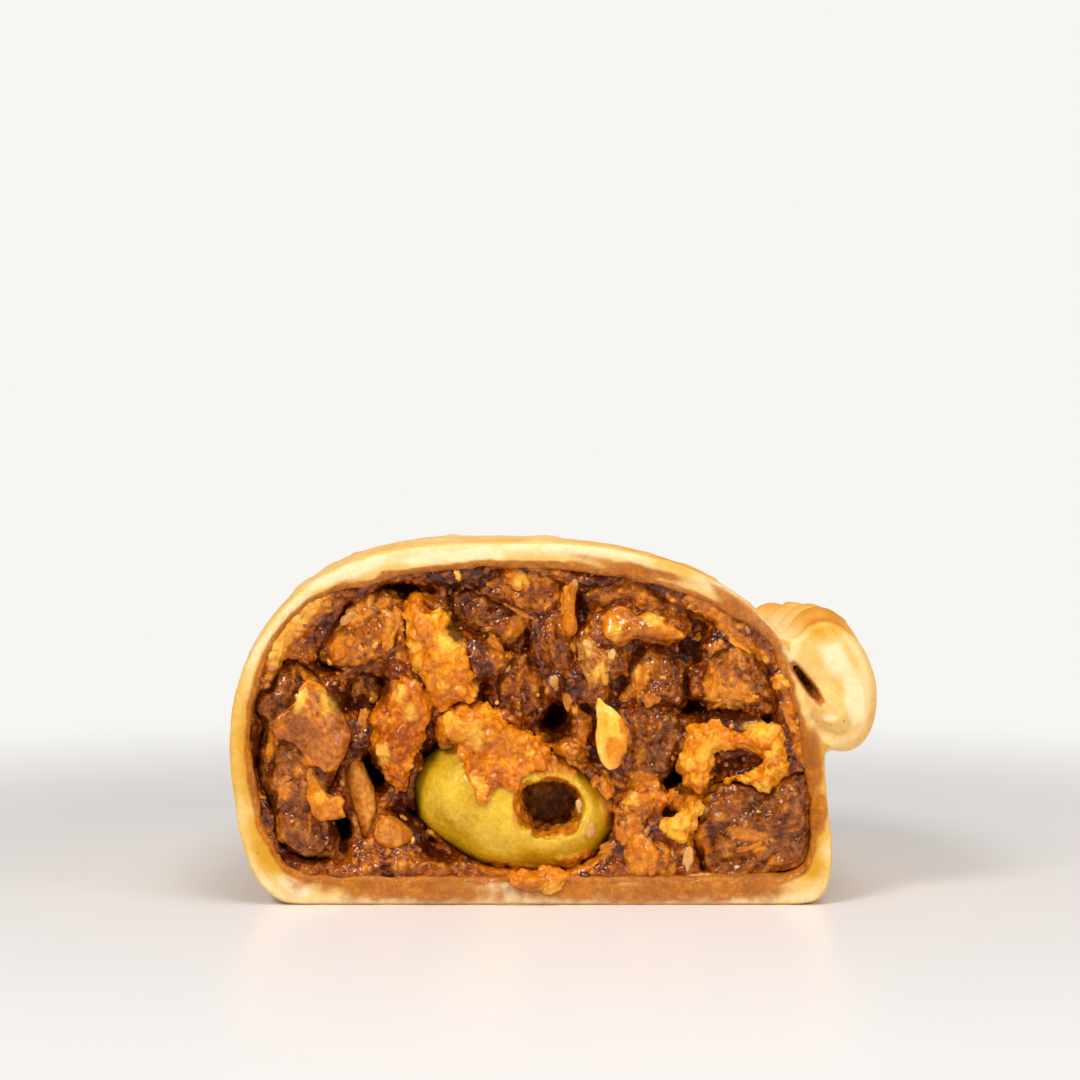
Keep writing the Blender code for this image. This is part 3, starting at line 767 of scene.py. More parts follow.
# For each food: passes that round the solid's facets off and by how many mm that is made good, and then
# the radius of its edges.
ROUNDING = {"beef": (9, 0.12), "egg": (9, 0.12), "olive": (14, 0.1), "onion": (5, 0.08), "garlic": (4, 0.06)}
EDGES = {"beef": 1.5, "egg": 1.6, "onion": 0.5, "garlic": 0.5}
CRISP_EDGES = {"beef_lower_right": 0.8}
# How far a piece's face falls back towards its outline, from how far inside, how steeply it falls
# away on both sides of a ridge, and the share of its depth that it falls at most.
DOMES = {"beef": (1.1, 3.0), "egg": (1.5, 3.6), "onion": (0.4, 1.2), "garlic": (0.6, 1.6)}
ROOFS = {"beef": 0.1, "egg": 0.0, "onion": 0.42, "garlic": 0.34}
FALL_LIMIT = 0.28
# The outlines of the beef are drawn this much larger, so that its pieces touch.
BEEF_GROWTH = 0.35
# A piece stays this close to its solid, and its depth leans by this share.
FORM_SLACK = 1.6
LEAN = 0.14

# Where the olive's stone was: its outline, how deep it goes and how it narrows.
STONE_OUTLINE = [
    (522, 784), (535, 782), (551, 781), (565, 785), (576, 794), (580, 806), (579, 820), (577, 831),
    (566, 837), (550, 839), (536, 839), (526, 831), (519, 817), (516, 800),
]
STONE_DEPTH, STONE_TAPER = 9.0, 0.12


def distances_in_plane(outline, across, up):
    """Signed distances to a smooth closed outline, for each pair of an x and a z."""
    ring = np.array(smooth_ring([on_cut(*spot) for spot in outline], 3), np.float32)
    x, z = np.meshgrid(across, up, indexing="ij")
    nearest = np.full(x.shape, 99.0, np.float32)
    inside = np.zeros(x.shape, bool)
    for (ax, az), (bx, bz) in zip(ring, np.roll(ring, -1, axis=0)):
        dx, dz = bx - ax, (bz - az) or 1e-6
        share = np.clip(((x - ax) * dx + (z - az) * dz) / (dx * dx + dz * dz), 0, 1)
        nearest = np.minimum(nearest, np.hypot(x - ax - share * dx, z - az - share * dz))
        inside ^= ((az > z) != (bz > z)) & (x < ax + (z - az) * dx / dz)
    return np.where(inside, -nearest, nearest)


def stone_hole(x, y, z, depth):
    """Distances to the hole where the olive's stone was."""
    behind = (y - CUT_Y)[None, :, None]
    across = distances_in_plane(STONE_OUTLINE, x, z)[:, None, :]
    return np.maximum(across + STONE_TAPER * behind, behind - depth)


def form_of(name, food, seed):
    """A piece's form: its outline at the cut, as deep as its solid and never far from it."""
    points, faces = node_mesh(name)
    room = DRAPE_ROOM if name == "egg_over_olive" else ROOM
    box = index_box(points.min(axis=0) - room, points.max(axis=0) + room, PIECE_STEP)
    passes, grow = ROUNDING[food]
    form = Field.of_mesh(points, faces, PIECE_STEP, 2.4, box)
    form.values = softened(form.values, passes) - grow
    if name not in OUTLINES:
        return form
    x, y, z = form.axes()
    across = distances_in_plane(OUTLINES[name], x, z) - (BEEF_GROWTH if food == "beef" else 0.0)
    if name == "egg_curl":
        across = np.maximum(across, -distances_in_plane(CURL_GAP, x, z))
    draw = random.Random(seed)
    lean = LEAN * (
        draw.uniform(-1, 1) * (x - x.mean())[:, None] + draw.uniform(-1, 1) * (z - z.mean())[None, :]
    )
    front, back = points[:, 1].min(), points[:, 1].max()
    edge = CRISP_EDGES.get(name, EDGES[food])
    along = np.abs(y[None, :, None] - (front + back) / 2 - lean[:, None, :]) - (back - front) / 2 + edge
    # The face falls back towards the outline, and on both sides of a ridge.
    fall, reach = DOMES[food]
    turn = math.radians(PIECES[name][4])
    from_middle = (x - points[:, 0].mean())[:, None], (z - points[:, 2].mean())[None, :]
    ridge = from_middle[0] * math.cos(turn) - from_middle[1] * math.sin(turn)
    fallen = fall * np.clip(1 + across / reach, 0, 1) ** 2 + ROOFS[food] * np.abs(ridge)
    along = along + np.minimum(fallen, FALL_LIMIT * (back - front))[:, None, :]
    across = (across + edge)[:, None, :]
    outside = np.hypot(np.maximum(across, 0), np.maximum(along, 0))
    slab = outside + np.minimum(np.maximum(across, along), 0) - edge
    solid = form.values
    form.values = joined(shared(slab, solid - FORM_SLACK, 0.8), solid + FORM_SLACK, 0.8).astype(np.float32)
    return form


def drape_over(form, olive):
    """Adds a film of egg mash that runs down over the olive to the form of the mash above it."""
    x, _, z = form.axes()
    shell = np.abs(olive.at(form.points()).reshape(form.values.shape) - DRAPE_OUT) - DRAPE_THICKNESS
    film = shared(shell, distances_in_plane(DRAPE, x, z)[:, None, :], 0.7)
    form.values = joined(form.values, film, 0.9)


def carve(field, feature, depth, join, blend):
    """Joins an ellipsoid to a field, or cuts it out, at a depth behind the cut."""
    middle = (feature["x"], CUT_Y + depth, feature["z"])
    reach = max(feature["half"]) + 2
    part = field.part([c - reach for c in middle], [c + reach for c in middle])
    lump = ellipsoid(field.points(part), middle, rotated_ways(feature["tilt"]), feature["half"])
    values = field.values[part]
    field.values[part] = join(values, lump.reshape(values.shape), blend)


def cut_out(a, b, blend):
    """The field of one shape without another."""
    return shared(a, -b, blend)


def stretched(points, tilt, share):
    """Points squeezed along the fibres, so that what is drawn there comes out long."""
    way = rotated_ways(tilt)[2]
    return points - np.outer(points @ way, way) * (1 - share)


def wander(obj, size, far, seed):
    """Moves points by smooth unevenness in all three directions."""
    points = points_of(obj)
    ways = [ripples(points, size, seed + 3 * k) for k in range(3)]
    move_points(obj, points + far * np.stack(ways, axis=1))


def relief_of_beef(points, tilt, seed):
    """Torn lumps of muscle with strands and fine grain."""
    strands = 1 - 2 * np.abs(ripples(stretched(points, tilt, 0.3), 1.3, seed + 1))
    bent = points + 0.35 * ripples(points, 1.6, seed + 4)[:, None]
    small, own = grains(bent, 1.2, seed)
    lumps = rough(points, 4.2, 3, seed + 2)
    fine = ripples(points, 0.5, seed + 3)
    height = 0.55 * lumps + (0.4 if tilt > 40 else 0.24) * strands + 0.16 * (small - 0.5) + 0.09 * fine
    return height, small * 0.4 + strands * 0.4 + 0.2, own


def relief_of_egg(points, tilt, seed):
    """Crumbled boiled egg: rounded grains of two sizes on craggy lumps."""
    bent = points + 0.4 * ripples(points, 1.8, seed + 5)[:, None]
    large, own = grains(bent, 1.9, seed)
    small, _ = grains(bent + 0.25 * ripples(points, 1.0, seed)[:, None], 0.85, seed + 1)
    lumps = rough(points, 4.0, 3, seed + 2)
    height = 0.5 * lumps + 0.5 * (large - 0.4) + 0.26 * (small - 0.4) + 0.08 * ripples(points, 0.5, seed + 3)
    return height, large * 0.55 + small * 0.45, own


def relief_of_onion(points, tilt, seed):
    """Smooth cooked onion with faint veins along it."""
    veins = ripples(stretched(points, tilt, 0.12), 0.8, seed)
    lumps = rough(points, 4.0, 3, seed + 2)
    small, _ = grains(points, 1.3, seed + 4)
    height = 0.18 * lumps + 0.05 * veins + 0.08 * (small - 0.5)
    return height, 0.3 + 0.4 * veins + 0.4 * small, 0.5 + 0.5 * lumps


def relief_of_olive(points, tilt, seed):
    """Taut, smooth flesh."""
    lumps = rough(points, 6.0, 2, seed)
    return 0.16 * lumps + 0.015 * ripples(points, 0.7, seed), 0.5 + 0.4 * lumps, 0.5 + 0.5 * lumps


RELIEFS = {
    "beef": relief_of_beef, "egg": relief_of_egg, "onion": relief_of_onion, "garlic": relief_of_onion,
    "olive": relief_of_olive,
}
# How far large unevenness bends each food's form.
BENDS = {"beef": 0.5, "egg": 0.4, "onion": 0.16, "garlic": 0.12, "olive": 0.2}


def build_pieces():
    """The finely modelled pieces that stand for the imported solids."""
    forms = {name: form_of(name, look[0], 100 + k) for k, (name, look) in enumerate(PIECES.items())}
    olive = forms["green_olive"]
    olive.values = cut_out(olive.values, stone_hole(*olive.axes(), STONE_DEPTH), 0.5).astype(np.float32)
    drape_over(forms["egg_over_olive"], forms["green_olive"])
    pieces = []
    for k, (name, form) in enumerate(forms.items()):
        food, tone, mauve, _, tilt = PIECES[name]
        obj = make_object(name + "_look", *main_body(*form.mesh()))
        seed = 100 + 10 * k
        wander(obj, 5.0, BENDS[food], seed)
        wander(obj, 2.2, BENDS[food] * 0.5, seed + 1)
        relief, raised, own = RELIEFS[food](points_of(obj), tilt, seed)
        if name == "green_olive":
            in_hole = eased_step(0.4, 0.0, in_stone_hole(points_of(obj)))
            messy = np.maximum(in_hole, patches_over(points_of(obj), MASH_SPOTS, seed))
            ragged, raised_there, _ = relief_of_egg(points_of(obj), 0, seed)
            relief = relief * (1 - messy) + (ragged + 0.35 * (1 - in_hole)) * messy
            raised = raised * (1 - messy) + raised_there * messy
        push(obj, relief)
        count = len(raised)
        keep(obj, raised=np.clip(raised, 0, 1), own=np.clip(own, 0, 1))
        tones = np.full(count, tone)
        if name == "green_olive":
            # Painted light and shade: the olive is lighter where it faces the cut and darker where it turns
            # away.
            tones += 0.3 * normals_of(obj)[:, 1] ** 2 - 0.2
        keep(obj, tone=tones, mauve=np.full(count, mauve))
        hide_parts(name)
        pieces.append(obj)
    return pieces


# ---------------------------------------------------------------- the stew between the pieces

# The box that holds the finely modelled front of the stew. Its detail fades between these depths.
FINE_DEPTH = (8.0, 9.0, 11.0)
FRONT_LOW, FRONT_HIGH = (-36.0, -39.0, 1.5), (32.5, CUT_Y + FINE_DEPTH[2], 41.0)
# How softly the stew joins the pieces and the wall, how far behind the cut it does so at the wall, how far
# it stays under the pieces, and how thick the film of mash on beef is.
SAUCE_BLEND = 1.2
WALL_BLEND, WALL_BEHIND = 2.6, 0.9
SAUCE_UNDER = 0.12
FILM = 0.34
# How far the stew reaches into the wall, and its loose lumps stay clear of it.
INTO_WALL = 0.35

# These stay clear of mash from so many mm inside their outline, and the other beef from farther in.
BARE_FROM, MERGED_FROM = 0.35, 0.9
BARE_BEEF = ("beef_left", "beef_lower_right")

# The stew clings to the inner wall, so thick and so far behind the cut. At the upper left it is a
# smooth slope: x, z, half width, half height, and how thick and how steep it is.
CLING_THICKNESS, CLING_BEHIND = 1.5, 1.3
SLOPE = (-27.5, 31.5, 8.5, 8.5)
SLOPE_THICKNESS, SLOPE_RISE = 3.6, 0.55

# Lumps of the stew that fill the gaps: how far apart, their radius, how far behind the cut their
# fronts lie, and how softly they join.
LUMP_PITCH, LUMP_JITTER = 3.1, 1.3
LUMP_RADIUS = (1.2, 2.3)
LUMP_FRONT = (0.4, 3.2)
LUMP_BLEND = 0.7

# Dark hollows between the pieces: x, z, half width, half height.
HOLLOWS = [
    (0.7, 21.3, 1.6, 2.2), (16.4, 22.6, 1.9, 1.1), (14.2, 14.6, 1.5, 2.2), (-24.6, 8.6, 1.4, 1.8),
    (-20.6, 15.2, 1.6, 2.8), (-17.6, 36.3, 2.6, 1.0), (-25.5, 28.2, 2.3, 1.3),
]
HOLLOW_DEPTH = 6.0


def strew_lumps(field, cavity):
    """The field of uneven lumps all over the front of the stew, and where their middles lie."""
    draw = random.Random(17)
    lumps = Field(np.full(field.values.shape, 9.0, np.float32), field.low, field.step)
    middles = []
    rows, columns = int(HEIGHT / LUMP_PITCH), int(WIDTH / LUMP_PITCH)
    for row, column in itertools.product(range(1, rows), range(columns + 1)):
        x = LEFT + (column + 0.5 * (row % 2)) * LUMP_PITCH + draw.uniform(-LUMP_JITTER, LUMP_JITTER)
        z = row * LUMP_PITCH + draw.uniform(-LUMP_JITTER, LUMP_JITTER)
        radius = draw.uniform(*LUMP_RADIUS)
        half = (radius * draw.uniform(1.0, 1.6), radius * draw.uniform(1.0, 1.5), radius)
        y = CUT_Y + draw.uniform(*LUMP_FRONT) + half[1]
        tilt = draw.uniform(0, 180)
        if any(math.hypot((x - a) / (w + 0.8), (z - b) / (h + 0.8)) < 1 for a, b, w, h in HOLLOWS):
            continue
        part = lumps.part((x - 4, y - 4, z - 4), (x + 4, y + 4, z + 4))
        shape = lumps.values[part].shape
        if 0 in shape:
            continue
        lump = ellipsoid(lumps.points(part), (x, y, z), rotated_ways(tilt), half).reshape(shape)
        lumps.values[part] = joined(lumps.values[part], lump, LUMP_BLEND)
        middles.append((x, y, z))
    room = cavity.at(field.points()).reshape(field.values.shape) + INTO_WALL
    lumps.values = shared(lumps.values, room, 0.6)
    return lumps.values, middles


def swept(values):
    """The field of all that lies before or inside a shape, seen from the front."""
    return np.minimum.accumulate(values[:, ::-1], axis=1)[:, ::-1]


def build_sauce(pieces, cavity):
    """The stew that fills the crust, drawn up into every gap between the pieces."""
    points, faces = node_mesh("stew")
    whole = index_box(FRONT_LOW, (FRONT_HIGH[0], 36.0, FRONT_HIGH[2]), STEW_STEP)
    stew = Field.of_mesh(points, faces, STEW_STEP, 2.4, whole)
    stew.values = softened(stew.values, 6)
    part = stew.part(FRONT_LOW, FRONT_HIGH)
    low = stew.low + [cut.start for cut in part]
    front = Field(stew.values[part], low, STEW_STEP)
    spots = front.points()
    shape = front.values.shape
    lumps, middles = strew_lumps(front, cavity)
    bent = spots + 0.5 * ripples(spots, 2.4, 43)[:, None]
    small, _ = grains(bent, 1.7, 40)
    bumps = 0.45 * rough(spots, 3.4, 2, 41) + 0.22 * (small - 0.5)
    base = joined(front.values - 0.15, lumps, 0.9) - bumps.reshape(shape)
    # The stew clings to the wall.
    away = np.hypot((spots[:, 0] - SLOPE[0]) / SLOPE[2], (spots[:, 2] - SLOPE[1]) / SLOPE[3])
    sloped = eased_step(1.0, 0.6, away)
    room = cavity.at(spots)
    uneven = rough(spots, 2.6, 3, 45) * (1 - 0.8 * sloped)
    thickness = CLING_THICKNESS + (SLOPE_THICKNESS - CLING_THICKNESS) * sloped + uneven
    behind = CLING_BEHIND * (1 - 0.6 * sloped) + 1.2 * uneven + SLOPE_RISE * sloped * np.maximum(-room, 0)
    cling = shared(-room - thickness, CUT_Y + behind - spots[:, 1], 0.5)
    cling = shared(cling, room - INTO_WALL, 0.3)
    base = joined(base, cling.reshape(shape), 0.9)
    web, nearest, bare, merged = [np.full(shape, 9.0, np.float32) for _ in range(4)]
    second = nearest.copy()
    box = index_box(FRONT_LOW, FRONT_HIGH, STEW_STEP)
    for name, obj in zip(PIECES, pieces):
        values = Field.of_mesh(points_of(obj), triangles_of(obj.data), STEW_STEP, 2.1, box).values
        web = joined(web, values, SAUCE_BLEND)
        second = np.where(values < nearest, nearest, np.minimum(second, values))
        nearest = np.minimum(nearest, values)
        if PIECES[name][0] == "beef" and name not in BARE_BEEF:
            merged = np.minimum(merged, values)
        else:
            bare = np.minimum(bare, values)
    # The gaps between pieces are filled, and those between a piece and the wall.
    fillet = shared(joined(web, -room.reshape(shape), WALL_BLEND), (room - INTO_WALL).reshape(shape), 0.3)
    behind = (CUT_Y + WALL_BEHIND + 0.8 * uneven - spots[:, 1]).reshape(shape)
    web = joined(web, shared(fillet, behind, 0.4), 0.3)
    front.values = joined(web + SAUCE_UNDER, base, SAUCE_BLEND)
    # What lies before a piece is cut away, and a patchy film of mash is laid on the merged ones.
    front.values = cut_out(front.values, swept(merged) + MERGED_FROM, 0.8)
    film = FILM * rough(spots, 3.2, 3, 44).reshape(shape)
    front.values = joined(front.values, merged + SAUCE_UNDER - np.maximum(film, 0), 0.5)
    front.values = cut_out(front.values, swept(bare) + BARE_FROM, 0.5)
    for x, z, wide, high in HOLLOWS:
        hole = {"x": x, "z": z, "half": (wide, HOLLOW_DEPTH, high), "tilt": 0.0}
        carve(front, hole, 0.0, cut_out, 0.8)
    x, y, z = front.axes()
    hole = stone_hole(x, y, z, STONE_DEPTH - 4.5)
    front.values = cut_out(front.values, hole - 0.1, 0.6).astype(np.float32)
    stew.values[part] = front.values
    return stew, Field(nearest, low, STEW_STEP), Field(second, low, STEW_STEP), front, middles


def thin_out(obj, hidden, share, field):
    """Leaves only a share of the triangles, taking those away that the 0 to 1 values call hidden."""
    group = obj.vertex_groups.new(name="hidden")
    for level in range(1, 5):
        found = np.nonzero(np.round(hidden * 4) == level)[0]
        if len(found):
            group.add(found.tolist(), level / 4, "REPLACE")
    modifier = obj.modifiers.new("thin", "DECIMATE")
    modifier.ratio = share
    modifier.vertex_group = "hidden"
    modifier.vertex_group_factor = 4.0
    made = bpy.data.meshes.new_from_object(obj.evaluated_get(bpy.context.evaluated_depsgraph_get()))
    obj.modifiers.clear()
    obj.vertex_groups.clear()
    obj.data = made
    obj.data.shade_smooth()
    drop_spikes(obj, field)


# A point farther than this from the surface was thrown there by the thinning.
SPIKE = 1.0


def drop_spikes(obj, field):
    """Puts points that the thinning threw off the surface back among their neighbours."""
    a, b = read(obj.data.edges, "vertices", 2, np.int32).T
    points = points_of(obj)
    for _ in range(6):
        wrong = np.abs(field.at(points)) > SPIKE
        wrong |= np.any((points / field.step < field.low) | (points / field.step > field.top()), axis=1)
        if not wrong.any():
            break
        total, count = np.zeros_like(points), np.zeros(len(points))
        for one, other in ((a, b), (b, a)):
            good = ~wrong[other]
            np.add.at(total, one[good], points[other[good]])
            np.add.at(count, one[good], 1)
        moved = wrong & (count > 0)
        points[moved] = total[moved] / count[moved, None]
    move_points(obj, points)


# ---------------------------------------------------------------- patches of colour

# Patches on the filling, as the photograph shows them: column, row, half width, half height and
# clockwise tilt in degrees. First egg mash, then paler flesh and painted highlights, then painted shade.
MASH_SPOTS = [
    (338, 652, 9, 12, 10), (352, 642, 8, 5, 0), (388, 640, 5, 14, 12), (305, 677, 9, 5, 30),
    (290, 776, 13, 3, -40), (268, 750, 3, 14, 0), (283, 792, 5, 8, 20), (306, 762, 6, 5, 0),
    (334, 768, 10, 4, -20), (316, 796, 9, 12, -20), (612, 626, 12, 14, 0), (664, 632, 20, 7, 12),
    (450, 690, 24, 16, 0), (528, 752, 14, 12, 0), (505, 742, 20, 14, 20), (560, 755, 26, 14, 10),
    (583, 745, 8, 20, 0), (520, 582, 10, 10, -30), (536, 568, 10, 6, 0), (516, 628, 10, 11, 0),
    (566, 614, 8, 22, 0), (640, 682, 6, 16, 20), (628, 700, 10, 5, -30), (645, 803, 24, 9, 0),
    (640, 786, 20, 8, 0), (685, 806, 26, 8, -10), (716, 648, 10, 5, 0), (712, 684, 8, 22, 0),
    (736, 636, 40, 5, 38), (782, 684, 12, 10, 20), (790, 708, 10, 14, -20), (800, 740, 8, 26, -10),
    (708, 612, 30, 14, 15), (640, 862, 14, 20, 0), (700, 850, 12, 18, 0), (752, 838, 22, 6, 10),
    (766, 858, 16, 6, 30), (520, 884, 34, 10, 12), (575, 868, 30, 8, -12), (420, 700, 8, 20, 0),
    (700, 792, 20, 8, -10), (376, 608, 14, 5, -30), (735, 690, 16, 10, 0), (616, 752, 10, 15, -10),
    (626, 735, 5, 20, -15), (518, 800, 6, 26, 0), (611, 812, 7, 34, -8), (552, 767, 34, 10, 4),
    (590, 862, 30, 7, -14), (520, 874, 46, 5, 6), (440, 736, 20, 8, -8), (632, 838, 12, 26, 0),
    (300, 622, 44, 12, -45), (276, 655, 14, 22, 20),
]
PALE_SPOTS = [
    (300, 700, 5, 16, 22), (319, 799, 6, 7, 0), (398, 694, 7, 9, 10), (381, 756, 7, 9, 0),
    (437, 613, 5, 9, 0), (415, 648, 6, 7, 0), (453, 640, 11, 16, -10), (762, 733, 17, 9, 8),
    (770, 756, 7, 9, 0), (766, 789, 11, 6, 0), (676, 829, 15, 8, -10), (698, 813, 9, 9, 0),
    (547, 892, 11, 7, 0), (480, 786, 8, 14, -20), (529, 753, 5, 6, 0), (632, 803, 9, 6, 0),
    (450, 720, 9, 8, 0), (475, 735, 9, 14, 0), (655, 620, 9, 6, 20), (614, 630, 7, 9, 0),
    (710, 752, 12, 14, 0), (690, 765, 9, 8, 0), (784, 682, 6, 6, 0), (600, 672, 9, 8, 0),
    (588, 648, 8, 7, 0), (300, 620, 38, 8, -45), (275, 654, 9, 16, 20), (520, 580, 8, 7, -30),
    (638, 676, 4, 10, 10), (330, 702, 12, 10, 30), (410, 712, 7, 10, 0),
]
SHADE_SPOTS = [
    (400, 588, 30, 6, -6), (322, 670, 20, 6, 14), (338, 700, 9, 20, -24), (382, 690, 10, 18, 12),
    (455, 632, 8, 14, -40), (556, 730, 15, 20, 0), (648, 572, 10, 8, -30), (698, 710, 18, 6, -20),
    (676, 780, 9, 14, 0), (738, 718, 32, 5, 6), (730, 768, 22, 6, -24), (338, 832, 12, 14, 0),
    (375, 778, 9, 28, -18), (440, 862, 20, 6, 22), (560, 814, 14, 20, 0), (300, 862, 30, 5, 6),
    (254, 760, 6, 46, 0), (412, 812, 8, 12, -20),
]
# Patches fade out between these depths behind the cut.
PATCH_DEPTH = (6.0, 9.0)


def in_stone_hole(points):
    """How far points lie outside the hole of the olive's stone."""
    ring = np.array([on_cut(*spot) for spot in STONE_OUTLINE])
    middle = ring.mean(axis=0)
    away = points[:, [0, 2]] - middle
    ways = np.arctan2(away[:, 1], away[:, 0])
    spokes = np.arctan2(*(ring - middle).T[::-1])
    order = np.argsort(spokes)
    reach = np.interp(ways, spokes[order], np.hypot(*(ring - middle).T)[order], period=2 * math.pi)
    return np.hypot(*away.T) - reach


def patches_over(points, table, seed):
    """1 in the middle of the listed patches, fading to 0 off them, with uneven edges."""
    wobble = 0.4 * rough(points, 1.6, 3, seed) + 0.25 * ripples(points, 4.0, seed + 5)
    total = np.zeros(len(points), np.float32)
    for column, row, wide, high, tilt in table:
        x, z = on_cut(column, row)
        turn = math.radians(tilt)
        across = (points[:, 0] - x) * math.cos(turn) - (points[:, 2] - z) * math.sin(turn)
        up = (points[:, 0] - x) * math.sin(turn) + (points[:, 2] - z) * math.cos(turn)
        away = np.hypot(across / (wide * PIXEL), up / (high * PIXEL))
        total = np.maximum(total, eased_step(1.6, 0.3, away + wobble))
    return total * eased_step(PATCH_DEPTH[1], PATCH_DEPTH[0], points[:, 1] - CUT_Y)


def note_surroundings(obj, second, hollow, mash, seed):
    """Stores how close a piece's neighbours are, how sunken it is, how deep, and its patches, among them
    painted shade in holes and in the olive's stone hole.
    """
    points = points_of(obj)
    cover = np.clip(mash + 0.5 * rough(points, 2.2, 3, seed) * (mash > 0), 0, 1)
    # Painted shade inside the olive's stone hole, darker farther behind the cut.
    in_hole = 0.6 * eased_step(0.3, 0.0, in_stone_hole(points)) * eased_step(2.0, 5.0, points[:, 1] - CUT_Y)
    brown = 0.9 * eased_step(0.5, 0.1, in_stone_hole(points)) * eased_step(0.4, 1.2, points[:, 1] - CUT_Y)
    keep(
        obj,
        near=eased_step(1.3, 0.25, second.at(points)),
        sunken=eased_step(0.5, 0.78, hollow.at(points)),
        deep=eased_step(2.0, 8.0, points[:, 1] - CUT_Y),
        mash=np.maximum(np.maximum(cover, brown), patches_over(points, MASH_SPOTS, seed + 1)),
        pale=patches_over(points, PALE_SPOTS, seed + 2),
        dark=np.maximum(patches_over(points, SHADE_SPOTS, seed + 3), in_hole),
    )


# ---------------------------------------------------------------- bits, seeds and crumbs

# Bits that show on the filling: column, row, half length, half width and clockwise tilt from upright.
EGG_BITS = [
    (638, 803, 12, 8, 80), (658, 802, 9, 7, 100), (528, 752, 7, 6, 0), (337, 653, 11, 8, 10),
    (350, 641, 7, 5, 60), (388, 640, 14, 5, 14), (514, 580, 13, 9, 122), (782, 683, 11, 7, 110),
    (640, 682, 13, 5, 12), (628, 699, 8, 4, 60), (566, 600, 14, 5, 4), (770, 757, 9, 6, 0),
    (752, 700, 8, 5, 80), (583, 740, 10, 5, 0), (545, 745, 9, 6, 60), (700, 640, 7, 4, 60),
    (672, 802, 8, 6, 40), (735, 640, 20, 4, 128), (716, 706, 9, 5, 60), (596, 785, 7, 5, 0),
]
ONION_BITS = [
    (396, 622, 13, 6, 4), (372, 697, 10, 6, 14), (363, 728, 17, 6, 4), (557, 684, 8, 5, 0),
    (568, 702, 9, 5, 0), (400, 660, 10, 7, 10), (495, 650, 14, 6, -30), (768, 711, 7, 5, 100),
    (790, 720, 16, 4, -24), (652, 702, 9, 7, 40), (622, 832, 20, 5, 0), (604, 790, 14, 5, -24),
    (354, 690, 8, 4, 20), (470, 590, 16, 4, -60), (520, 612, 16, 5, -60), (750, 850, 13, 4, 70),
    (778, 862, 12, 5, 50), (610, 850, 12, 5, 60),
]
PALE_SEEDS = [
    (347, 620, 9, 5, 48), (689, 862, 13, 5, 4), (702, 880, 12, 4, 90), (582, 812, 9, 5, -22),
    (590, 833, 9, 6, 20), (554, 683, 7, 5, 0), (498, 648, 6, 4, -30), (508, 672, 4, 3, 30),
    (612, 655, 5, 4, 30), (588, 646, 6, 4, -30), (520, 571, 5, 4, 60), (575, 583, 4, 3, 0),
]
# The smallest and the largest radius of a crumb.
CRUMB_SIZE = (0.14, 0.42)


def ball(detail):
    """The points and triangles of a round ball of radius 1."""
    bm = bmesh.new()
    bmesh.ops.create_icosphere(bm, subdivisions=detail, radius=1.0)
    points = np.array([vert.co for vert in bm.verts], np.float32)
    faces = np.array([[vert.index for vert in face.verts] for face in bm.faces], np.int32)
    bm.free()
    return points, faces


class Front:
    """What a ray from the front meets first."""

    def __init__(self, objects):
        points, faces, self.ends, self.objects, count = [], [], [], objects, 0
        for obj in objects:
            faces.append(triangles_of(obj.data) + count)
            points.append(points_of(obj))
            count += len(points[-1])
            self.ends.append(sum(len(part) for part in faces))
        self.tree = BVHTree.FromPolygons(np.concatenate(points).tolist(), np.concatenate(faces).tolist())

    def meet(self, x, z):
        """The point, the way it faces and the food of what shows there, or None three times."""
        spot, normal, face, _ = self.tree.ray_cast(Vector((x, CUT_Y - 6.0, z)), Vector((0.0, 1.0, 0.0)))
        if spot is None:
            return None, None, None
        met = self.objects[bisect.bisect_right(self.ends, face)].name.removesuffix("_look")
        return spot, normal, PIECES[met][0] if met in PIECES else met


def ways_on(normal, turn):
    """A frame whose last row is the normal, turned about it."""
    side = normal.cross(Vector((0.3, 0.2, 1.0))).normalized()
    other = normal.cross(side)
    first = side * math.cos(turn) + other * math.sin(turn)
    second = other * math.cos(turn) - side * math.sin(turn)
    return np.array([first, second, normal], np.float32)


def joined_blobs(name, blobs, uneven, detail, seed):
    """One piece of many small blobs: centre, frame and half sizes of each."""
    base, faces = ball(detail)
    all_points, all_faces, numbers = [], [], []
    draw = random.Random(seed)
    for k, (centre, ways, half) in enumerate(blobs):
        lumpy = ripples(base + 3.7 * k, 0.9, seed) + 0.4 * ripples(base + 1.9 * k, 0.4, seed + 1)
        shape = base * (1 + uneven * lumpy[:, None])
        all_points.append((shape * np.array(half, np.float32)) @ ways + np.array(centre, np.float32))
        all_faces.append(faces + k * len(base))
        numbers.append(np.full(len(base), draw.random()))
    obj = make_object(name, np.concatenate(all_points), np.concatenate(all_faces))
    keep(obj, own=np.concatenate(numbers))
    return obj


def build_bits(front, name, table, uneven, thickness, sunk, seed):
    """Bits of a food that lie on the filling where the table says."""
    blobs = []
    for column, row, long, wide, tilt in table:
        x, z = on_cut(column, row)
        spot, _, _ = front.meet(x, z)
        if spot is None or spot.y > CUT_Y + 8.0:
            continue
        long, wide = long * PIXEL, wide * PIXEL
        spot = Vector((x, spot.y + wide * thickness * sunk, z))
        blobs.append((spot, rotated_ways(tilt)[[2, 0, 1]], (long, wide, wide * thickness)))
    return joined_blobs(name, blobs, uneven, 4, seed)


